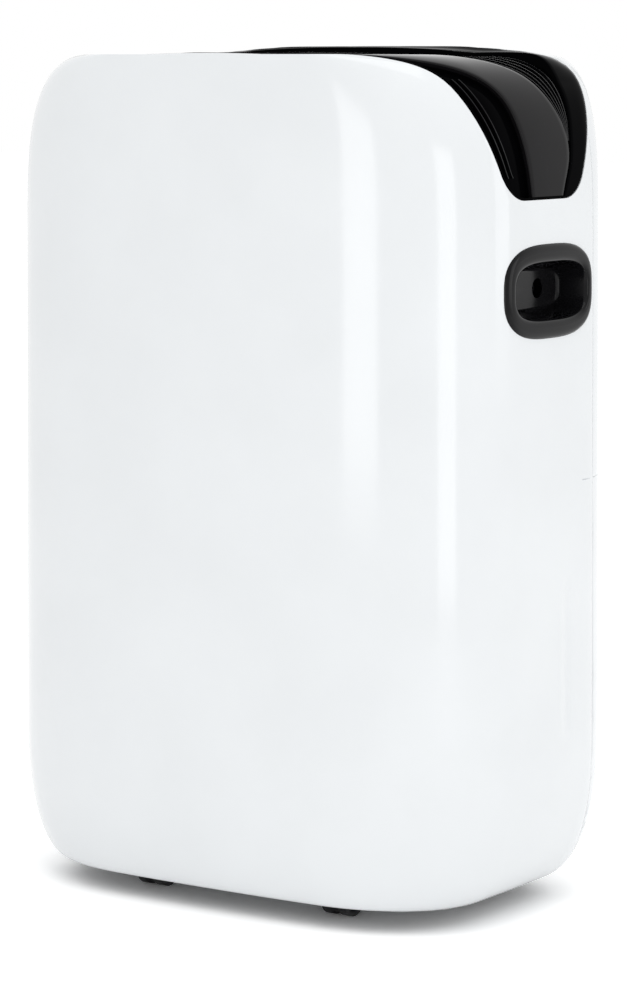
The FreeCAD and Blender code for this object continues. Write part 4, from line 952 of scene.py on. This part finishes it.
# %% Screws of the grips
screws = []
seats = []
for side in (-1, 1):
    middle_x = pocket_x - seat_deep / 2
    tube = disc("seat", (side * (middle_x - 0.8), screw_y, grip_z), seat_radius + 1.4, seat_deep, "X", 48)
    cut(tube, disc("seat_bore", (side * middle_x, screw_y, grip_z), seat_radius, seat_deep, "X", 48))
    seats.append(tube)
    seat_x = side * (pocket_x - seat_deep + 0.9)
    head = disc("head", (seat_x, screw_y, grip_z), 3.9, 1.6, "X", 40)
    edit(head, (bpy.ops.mesh.bevel, {"offset": 0.5 * mm, "segments": 3, "affect": "EDGES"}))
    for half_y, half_z in ((2.4, 0.5), (0.5, 2.4)):
        ends = sorted((seat_x - side * 0.1, seat_x + side * 3))
        cross_low = (ends[0], screw_y - half_y, grip_z - half_z)
        cross_high = (ends[1], screw_y + half_y, grip_z + half_z)
        cut(head, block("cross", cross_low, cross_high))
    screws.append(head)
grip_screws = joined("grip_screws", screws)
smooth(grip_screws, 40)
place(grip_screws, "cabinet", "screw_steel", ("handle_screws",), "blackened_screw")
screw_seats = joined("screw_seats", seats)
smooth(screw_seats, 40)
place(screw_seats, "cabinet", "black_gloss", (), "black_gloss")

# %% [markdown]
# ## Keys and display
# Five round keys lie almost flush in the band. Each carries a small printed sign that
# any such machine has: a power mark, a mode mark of two arcs round a dot, a fan, a clock
# and a drop. The signs are thin pads a few hundredths thick, because a print has no depth to speak of.

# %% The keys
sign_thick = 0.08
key_thick = 1.8


def key_top(name):
    x = key_x[name]
    return float(top_height(np.array(x), np.array(key_y))) - sink(2 - abs(x) / flat_top) + 0.05


def bar(x, y, z, length, width, turn):
    """A thin upright pad for one stroke of a sign."""
    pad = block("bar", (-length / 2, -width / 2, 0), (length / 2, width / 2, sign_thick))
    for vertex in pad.data.vertices:
        px, py = vertex.co.x, vertex.co.y
        vertex.co.x = px * cos(turn) - py * sin(turn) + x * mm
        vertex.co.y = px * sin(turn) + py * cos(turn) + y * mm
        vertex.co.z += z * mm
    return pad


def arc(x, y, z, radius, width, start, end, steps=20):
    """A thin ring or part of one, laid from a grid."""
    turns = [start + (end - start) * i / steps for i in range(steps + 1)]
    table = np.array([
        [(x + r * cos(turn), y + r * sin(turn), z + h) for turn in turns]
        for r, h in (
            (radius - width / 2, 0), (radius - width / 2, sign_thick), (radius + width / 2, sign_thick),
            (radius + width / 2, 0), (radius - width / 2, 0),
        )
    ])
    piece = laid_grid("arc", table)
    weld(piece, 0.000002)
    edit(
        piece, (bpy.ops.mesh.fill_holes, {"sides": 0}),
        (bpy.ops.mesh.normals_make_consistent, {"inside": False}),
    )
    return piece


def sign(name, x, y, z):
    if name == "power":
        return [arc(x, y, z, 2.2, 0.5, radians(125), radians(415)), bar(x, y + 2.0, z, 2.2, 0.5, pi / 2)]
    if name == "mode":
        return [
            arc(x, y, z, 2.2, 0.5, radians(20), radians(160)),
            arc(x, y, z, 2.2, 0.5, radians(200), radians(340)),
            disc("dot", (x, y, z + sign_thick / 2), 0.6, sign_thick, sides=16),
        ]
    if name == "fan":
        blades = [
            arc(x + 1.2 * cos(t), y + 1.2 * sin(t), z, 1.1, 0.5, t - 2.2, t + 1.2, 12)
            for t in (pi / 2, pi / 2 + 2 * pi / 3, pi / 2 + 4 * pi / 3)
        ]
        return blades + [disc("hub", (x, y, z + sign_thick / 2), 0.5, sign_thick, sides=16)]
    if name == "timer":
        return [
            arc(x, y, z, 2.4, 0.45, 0, 2 * pi, 32), bar(x, y + 0.8, z, 1.6, 0.45, pi / 2),
            bar(x + 0.55, y, z, 1.2, 0.45, 0),
        ]
    return [
        arc(x, y - 0.6, z, 1.8, 0.5, radians(150), radians(390), 20),
        bar(x - 0.85, y + 1.15, z, 2.8, 0.5, radians(62)), bar(x + 0.85, y + 1.15, z, 2.8, 0.5, radians(118)),
    ]


for name in key_names:
    top = key_top(name)
    cap = disc("key_cap_" + name, (key_x[name], key_y, top - key_thick / 2), key_radius, key_thick, sides=64)
    edit(cap, (bpy.ops.mesh.bevel, {"offset": 0.5 * mm, "segments": 4, "affect": "EDGES"}))
    smooth(cap, 40)
    place(cap, "key_" + name, "key_gloss", ("key_" + name,))
    marks = joined("key_sign_" + name, sign(name, key_x[name], key_y, top))
    place(marks, "key_" + name, "key_gloss", (), "print_grey")

# %% The display lens
lens_low_z = float(top_height(np.array(0.0), np.array(-103.0))) - 3.4
lens = block("display_lens", (-26.0, -109.5, lens_low_z), (26.0, -96.5, lens_low_z + 2.0))
activate(lens)
bpy.ops.object.mode_set(mode="EDIT")
bpy.ops.mesh.select_all(action="DESELECT")
bpy.ops.object.mode_set(mode="OBJECT")
for edge in lens.data.edges:
    low, high = (lens.data.vertices[i].co for i in edge.vertices)
    edge.select = abs(low.z - high.z) > 0.001
bpy.ops.object.mode_set(mode="EDIT")
bpy.ops.mesh.bevel(offset=2.7 * mm, segments=6, affect="EDGES")
bpy.ops.object.mode_set(mode="OBJECT")
for vertex in lens.data.vertices:
    if vertex.co.z > (lens_low_z + 1) * mm:
        x, y = vertex.co.x / mm, vertex.co.y / mm
        vertex.co.z = (float(top_height(np.array(x), np.array(y))) - sink(2 - abs(x) / flat_top) + 0.12) * mm
apply(lens, "BEVEL", width=0.3 * mm, segments=2, limit_method="ANGLE", angle_limit=radians(60))
smooth(lens, 40)
place(lens, "cabinet", "smoke_glass", ("display_window",))

# %% [markdown]
# ## Pieces that keep their construction shape
# The tank, the intake grille, the castors and all the works inside already have the right
# shape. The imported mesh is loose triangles, so where a curved piece shows, a copy of it is
# merged and shaded smooth; the rest only get a finish.

# %% Merged copies of the pieces that show
def smooth_copy(node, name, angle=30.0, soften=0.0):
    twin = nodes[node].copy()
    twin.data = nodes[node].data.copy()
    for key in list(twin.keys()):
        del twin[key]
    twin.parent = None
    twin.name = twin.data.name = name
    bpy.context.collection.objects.link(twin)
    twin.data.materials.clear()
    edit(twin, (bpy.ops.mesh.remove_doubles, {"threshold": 0.00001}))
    if soften:
        edit(twin, (bpy.ops.mesh.tris_convert_to_quads, {}))
        apply(twin, "BEVEL", width=soften * mm, segments=2, limit_method="ANGLE", angle_limit=radians(50))
    smooth(twin, angle)
    return twin


slot_of = {row["node"]: row["material_slot"] for row in frame["record"]["subparts"]}
body_of = {node: body for body, members in frame["record"]["behaviour"]["bodies"].items() for node in members}
shown_copies = [
    "water_tank", "tank_lid", "tank_float", "base_pan", "castor_fork_front_left", "castor_fork_front_right",
    "castor_fork_rear_left", "castor_fork_rear_right", "castor_wheels_front_left",
    "castor_wheels_front_right", "castor_wheels_rear_left", "castor_wheels_rear_right",
    "cord_gland", "drain_cap", "shell_screws",
    "intake_grille", "filter_frame", "chassis", "compressor", "accumulator", "impeller", "fan_motor",
]
for node in shown_copies:
    twin = smooth_copy(node, node + "_smooth")
    place(twin, body_of[node], slot_of[node], (node,))

# %% [markdown]
# ## Finishes
# Every finish starts from what the real material is and how it was made. Colours are written as
# sRGB hex values and turned to linear by one function. Patterns read Object coordinates, so their
# scales are real sizes in millimetres. One small function adds a node with settings and links.

# %% Colour and node helpers
def linear(code):
    parts = [int(code[i:i + 2], 16) / 255 for i in (1, 3, 5)]
    return tuple(c / 12.92 if c <= 0.04045 else ((c + 0.055) / 1.055) ** 2.4 for c in parts) + (1.0,)


def add(material, kind, settings=None, links=None):
    node = material.node_tree.nodes.new(kind)
    for key, value in (settings or {}).items():
        if key in node.inputs:
            node.inputs[key].default_value = value
        else:
            setattr(node, key, value)
    for key, socket in (links or {}).items():
        material.node_tree.links.new(socket, node.inputs[key])
    return node


def per_mm(size):
    """Texture scale that makes one feature of a pattern this many millimetres wide."""
    return 1000.0 / size


def start_material(name, **sockets):
    material = bpy.data.materials.new(name)
    material.use_nodes = True
    shader = material.node_tree.nodes["Principled BSDF"]
    for key, value in sockets.items():
        shader.inputs[key.replace("_", " ")].default_value = value
    where = add(material, "ShaderNodeTexCoord").outputs["Object"]
    return material, shader, where


def colour_between(material, shader, factor, first, second, low=0.35, high=0.65):
    ramp = add(material, "ShaderNodeValToRGB", {}, {"Fac": factor})
    ramp.color_ramp.elements[0].position = low
    ramp.color_ramp.elements[1].position = high
    ramp.color_ramp.elements[0].color = linear(first)
    ramp.color_ramp.elements[1].color = linear(second)
    material.node_tree.links.new(ramp.outputs["Color"], shader.inputs["Base Color"])


def roughness_between(material, shader, factor, low, high):
    spread_out = add(
        material, "ShaderNodeMapRange", {"From Min": 0.3, "From Max": 0.7, "To Min": low, "To Max": high},
        {"Value": factor},
    )
    material.node_tree.links.new(spread_out.outputs["Result"], shader.inputs["Roughness"])


def relief(material, shader, height, depth):
    bump = add(material, "ShaderNodeBump", {"Strength": 1.0, "Distance": depth * mm}, {"Height": height})
    material.node_tree.links.new(bump.outputs["Normal"], shader.inputs["Normal"])


def moulded(name, first, second, rough, patch, grain, depth, **sockets):
    """A moulded or painted finish: slow drift of tone and polish, and a fine skin on top."""
    material, shader, where = start_material(name, **sockets)
    drift = add(material, "ShaderNodeTexNoise", {"Scale": per_mm(patch), "Detail": 3.0}, {"Vector": where})
    skin = add(material, "ShaderNodeTexNoise", {"Scale": per_mm(grain), "Detail": 2.0}, {"Vector": where})
    colour_between(material, shader, drift.outputs["Fac"], first, second)
    roughness_between(material, shader, drift.outputs["Fac"], *rough)
    relief(material, shader, skin.outputs["Fac"], depth)
    return material


finishes = {}

# %% [markdown]
# ### Gloss mouldings
# ABS from a polished mould looks wet: a sharp reflection over a plain colour. What keeps it from
# looking like a mirror is orange peel, very low waves a few millimetres long, and a slow drift
# in polish. Piano black has hardly any colour of its own, so nearly all that is seen is reflection.

# %% White and black gloss
# Gloss white ABS, injection moulded: bright, faintly cool, with soft orange peel.
finishes["white_gloss"] = moulded(
    "abs_gloss_white", "#EEF1F3", "#F1F4F6", (0.10, 0.15), 90, 14, 0.004, IOR=1.53,
)
# Piano black ABS, polished mould: deep black, a crisp but weak reflection.
finishes["black_gloss"] = moulded(
    "abs_piano_black", "#030304", "#050506", (0.06, 0.11), 60, 12, 0.003, IOR=1.5, Specular_IOR_Level=0.005,
)
# The same black on the thin fins, where the mould could not be polished as well.
finishes["louvre_gloss"] = moulded(
    "abs_black_fins", "#030304", "#050506", (0.16, 0.24), 40, 6, 0.004, IOR=1.5, Specular_IOR_Level=0.005,
)
# Painted highlight: the thin strips along the tops of the fins and ribs get a lighter and more reflective
# black than the fins, so that they show as bright lines.
finishes["painted_highlight_gloss"] = moulded(
    "abs_black_painted_highlight", "#141416", "#1A1A1C", (0.2, 0.3), 40, 6, 0.002, IOR=1.5, Specular_IOR_Level=0.2,
)
# Grip cups: black ABS with a softer gloss that shows broad grey reflections.
finishes["grip_gloss"] = moulded(
    "abs_black_grip", "#0B0B0D", "#111113", (0.10, 0.16), 45, 9, 0.004, IOR=1.55, Specular_IOR_Level=0.14,
)
# Smoked acrylic band: dark warm grey with a clear sheen on the shoulders. Over the top it
# carries a matt printed film, which hardly reflects.
finishes["smoke_gloss"] = moulded(
    "acrylic_smoked", "#0E0D0E", "#121113", (0.08, 0.13), 70, 11, 0.003, IOR=1.49, Specular_IOR_Level=0.06,
)
smoke = finishes["smoke_gloss"]
band_tree = smoke.node_tree
band_where = add(smoke, "ShaderNodeTexCoord").outputs["Object"]
across = add(smoke, "ShaderNodeSeparateXYZ", {}, {"Vector": band_where})
far_out = add(smoke, "ShaderNodeMath", {"operation": "ABSOLUTE"})
band_tree.links.new(across.outputs["X"], far_out.inputs[0])
sheen = add(
    smoke, "ShaderNodeMapRange",
    {"From Min": 105 * mm, "From Max": 150 * mm, "To Min": 0.0, "To Max": 0.1}, {"Value": far_out.outputs[0]},
)
band_tree.links.new(sheen.outputs["Result"], band_tree.nodes["Principled BSDF"].inputs["Specular IOR Level"])
finishes["key_gloss"] = moulded(
    "abs_key_gloss", "#141415", "#19191A", (0.2, 0.3), 8, 2, 0.003, IOR=1.5, Specular_IOR_Level=0.03,
)
# Tinted polycarbonate lens over the display.
finishes["smoke_glass"] = moulded(
    "polycarbonate_smoked", "#08090B", "#0C0D10", (0.04, 0.08), 30, 8, 0.001, IOR=1.58,
    Specular_IOR_Level=0.1,
)
# Pad printing in pale grey ink: dry and a little uneven.
finishes["print_grey"] = moulded("pad_print_grey", "#B9BDC0", "#CDD0D2", (0.45, 0.6), 1.5, 0.4, 0.01)

# %% [markdown]
# ### Matte mouldings, rubber and foam
# Spark-eroded mould faces leave a fine even grain, here drawn about 0.7 mm across so that it
# shows, that breaks up the highlight. Rubber is rougher and blooms slightly grey. Foam shows its cells.

# %% Matte finishes
finishes["white_matte"] = moulded("abs_spark_white", "#E9E9E7", "#EFEFED", (0.42, 0.52), 60, 0.7, 0.03)
finishes["grey_matte"] = moulded("polypropylene_grey", "#A9ABAD", "#B1B3B5", (0.45, 0.58), 50, 0.9, 0.03)
finishes["black_matte"] = moulded("abs_spark_black", "#161617", "#1C1C1E", (0.42, 0.55), 40, 0.7, 0.03)
finishes["castor_grey"] = moulded("nylon_castor", "#1B1B1D", "#262628", (0.32, 0.5), 9, 1.1, 0.03)
finishes["black_rubber"] = moulded("rubber_black", "#131313", "#1D1C1C", (0.6, 0.75), 12, 0.8, 0.04)
finishes["float_foam"] = moulded("foam_closed_cell", "#E2E0DA", "#EEEDE9", (0.75, 0.9), 6, 1.3, 0.15)
# Milky polypropylene: lets a little light in, so it never looks chalky.
finishes["tank_clear"] = moulded(
    "polypropylene_milky", "#D5DBDE", "#DEE3E6", (0.22, 0.32), 70, 3, 0.01, Subsurface_Weight=0.15,
    Subsurface_Scale=0.004,
)
# Baked enamel over pressed steel: smooth, with a slight ripple from the press.
finishes["black_paint"] = moulded("enamel_black", "#0D0D0E", "#151516", (0.22, 0.34), 35, 5, 0.02)

# %% [markdown]
# ### Metals
# Turned, drawn and pressed metals differ in the direction of their marks. Stretching a noise
# along one axis gives drawn lines; tarnish is a slow patchy change of tone.


# %% Metal finishes
def metal(name, first, second, rough, stretch, line, depth, patch):
    material, shader, where = start_material(name, Metallic=1.0)
    drift = add(material, "ShaderNodeTexNoise", {"Scale": per_mm(patch), "Detail": 4.0}, {"Vector": where})
    turned = add(material, "ShaderNodeMapping", {"Scale": stretch}, {"Vector": where})
    lines = add(
        material, "ShaderNodeTexNoise", {"Scale": per_mm(line), "Detail": 3.0},
        {"Vector": turned.outputs["Vector"]},
    )
    colour_between(material, shader, drift.outputs["Fac"], first, second)
    roughness_between(material, shader, lines.outputs["Fac"], *rough)
    relief(material, shader, lines.outputs["Fac"], depth)
    return material


finishes["screw_steel"] = metal(
    "steel_zinc_plated", "#B9BCBE", "#CACDD0", (0.25, 0.42), (1, 1, 0.15), 0.6, 0.01, 5,
)
finishes["motor_steel"] = metal(
    "steel_pressed", "#9FA2A4", "#B4B7B9", (0.28, 0.45), (1, 0.1, 1), 0.8, 0.01, 25,
)
finishes["copper"] = metal("copper_drawn", "#B66A4A", "#C98563", (0.22, 0.38), (1, 1, 0.1), 0.7, 0.01, 14)
# Oxide-blackened steel screw at the bottom of each grip.
finishes["blackened_screw"] = metal(
    "steel_blackened", "#1A1A1C", "#2A2A2D", (0.3, 0.45), (0.2, 1, 1), 0.5, 0.01, 3,
)

# Aluminium fin stock: bands 1.6 mm apart, drawn coarser than real fins, with a painted highlight on the fin
# edges and painted shade in the gaps between them.
coil, coil_shader, coil_where = start_material("aluminium_fins_painted_light", Metallic=1.0)
fin_edge_light_and_gap_shade = add(
    coil, "ShaderNodeTexWave",
    {"wave_type": "BANDS", "bands_direction": "X", "Scale": per_mm(1.6) / 20 * pi, "Distortion": 0.15},
    {"Vector": coil_where},
)
# The colour bands paint the light on the fin edges and the shade between the fins.
colour_between(coil, coil_shader, fin_edge_light_and_gap_shade.outputs["Fac"], "#6F7274", "#C9CCCE", 0.2, 0.7)
roughness_between(coil, coil_shader, fin_edge_light_and_gap_shade.outputs["Fac"], 0.5, 0.3)
relief(coil, coil_shader, fin_edge_light_and_gap_shade.outputs["Fac"], 0.3)
finishes["coil_aluminium"] = coil

# %% [markdown]
# ### Filter net and circuit board
# The filter is a woven nylon net: two sets of threads crossing at right angles. The board is
# glass fibre under green solder mask, with copper tracks showing through as a slightly lighter green.

# %% Net and board
net, net_shader, net_where = start_material("nylon_net", Roughness=0.7)
threads = []
for direction in ("X", "Z"):
    threads.append(add(
        net, "ShaderNodeTexWave",
        {"wave_type": "BANDS", "bands_direction": direction, "Scale": per_mm(1.4) / 20 * pi},
        {"Vector": net_where},
    ))
crossed = add(net, "ShaderNodeMath", {"operation": "MAXIMUM"})
net.node_tree.links.new(threads[0].outputs["Fac"], crossed.inputs[0])
net.node_tree.links.new(threads[1].outputs["Fac"], crossed.inputs[1])
colour_between(net, net_shader, crossed.outputs["Value"], "#141516", "#4A4C4F", 0.45, 0.85)
relief(net, net_shader, crossed.outputs["Value"], 0.25)
finishes["mesh_fabric"] = net

board, board_shader, board_where = start_material("solder_mask_green", Roughness=0.35)
tracks = add(
    board, "ShaderNodeTexVoronoi", {"distance": "MANHATTAN", "Scale": per_mm(6)}, {"Vector": board_where},
)
colour_between(board, board_shader, tracks.outputs["Distance"], "#0E4A2A", "#1B6B3D", 0.3, 0.5)
relief(board, board_shader, tracks.outputs["Distance"], 0.03)
finishes["board_green"] = board
print(len(finishes), "finishes")

# %% Every piece and every node that stays gets its finish
for piece, finish in made:
    piece.data.materials.clear()
    piece.data.materials.append(finishes[finish])
for node, slot in slot_of.items():
    nodes[node].data.materials.clear()
    nodes[node].data.materials.append(finishes[slot])

# %% [markdown]
# ## Floor, light and camera
# The floor is a plain white sheet. Seen by the camera and in reflections it is as white as
# paper; for the light it bounces it is a little darker. One even white surround gives the plain
# level, and soft boxes in front and to the right draw two upright streaks on the gloss.


# %% Floor
def glows_white(tree, strength_elsewhere, strength_seen=1.0):
    """One value for camera, glossy and transmission rays, another for the rest."""
    path = tree.nodes.new("ShaderNodeLightPath")
    seen = tree.nodes.new("ShaderNodeMath")
    seen.operation = "MAXIMUM"
    tree.links.new(path.outputs["Is Camera Ray"], seen.inputs[0])
    tree.links.new(path.outputs["Is Glossy Ray"], seen.inputs[1])
    through = tree.nodes.new("ShaderNodeMath")
    through.operation = "MAXIMUM"
    tree.links.new(seen.outputs["Value"], through.inputs[0])
    tree.links.new(path.outputs["Is Transmission Ray"], through.inputs[1])
    level = tree.nodes.new("ShaderNodeMapRange")
    level.inputs["To Min"].default_value = strength_elsewhere
    level.inputs["To Max"].default_value = strength_seen
    tree.links.new(through.outputs["Value"], level.inputs["Value"])
    return level.outputs["Result"]


deselect()
bpy.ops.mesh.primitive_plane_add(size=30, location=(0, 0, 0))
floor = bpy.context.object
floor.name = floor.data.name = "studio_floor"
floor_paint = bpy.data.materials.new("studio_floor_white")
floor_paint.use_nodes = True
tree = floor_paint.node_tree
tree.nodes.clear()
tone = glows_white(tree, 0.92, 1.35)
matte = tree.nodes.new("ShaderNodeBsdfDiffuse")
tree.links.new(tone, matte.inputs["Color"])
out = tree.nodes.new("ShaderNodeOutputMaterial")
tree.links.new(matte.outputs["BSDF"], out.inputs["Surface"])
floor.data.materials.append(floor_paint)

# %% Surround and soft boxes
world = bpy.data.worlds.new("white_surround")
bpy.context.scene.world = world
world.use_nodes = True
sky = world.node_tree.nodes["Background"]
sky.inputs["Color"].default_value = (1, 1, 1, 1)
world.node_tree.links.new(glows_white(world.node_tree, 0.79), sky.inputs["Strength"])


def soft_box(name, place_at, aim, width, height, power):
    lamp = bpy.data.lights.new(name, "AREA")
    lamp.shape = "RECTANGLE"
    lamp.size, lamp.size_y, lamp.energy = width, height, power
    box = bpy.data.objects.new(name, lamp)
    bpy.context.collection.objects.link(box)
    box.location = place_at
    box.rotation_euler = (Vector(aim) - Vector(place_at)).to_track_quat("-Z", "Y").to_euler()
    box.visible_camera = False
    return box


middle = (0, 0, 0.3)
soft_box("box_front", (-0.15, -2.8, 0.36), middle, 0.8, 0.7, 3.8)
soft_box("box_front_right", (1.09, -0.95, 0.37), middle, 0.35, 0.66, 1.5)
soft_box("box_fill_right", (2.27, 1.06, 0.8), middle, 1.1, 1.1, 4.6)
soft_box("box_overhead", (0.3, -0.4, 2.6), middle, 1.6, 1.6, 9.5)

# %% Camera
turn_right = radians(34.1525)
look_down = radians(7.1136)
camera_data = bpy.data.cameras.new("camera")
camera_data.lens = 126.68
camera_data.sensor_width = 36.0
camera = bpy.data.objects.new("camera", camera_data)
bpy.context.collection.objects.link(camera)
camera.location = (1.3517, -1.9838, 0.5763)
look = Vector((-sin(turn_right) * cos(look_down), cos(turn_right) * cos(look_down), -sin(look_down)))
camera.rotation_euler = look.to_track_quat("-Z", "Y").to_euler()
bpy.context.scene.camera = camera
bpy.context.scene.view_settings.view_transform = "Standard"

bpy.context.view_layer.update()
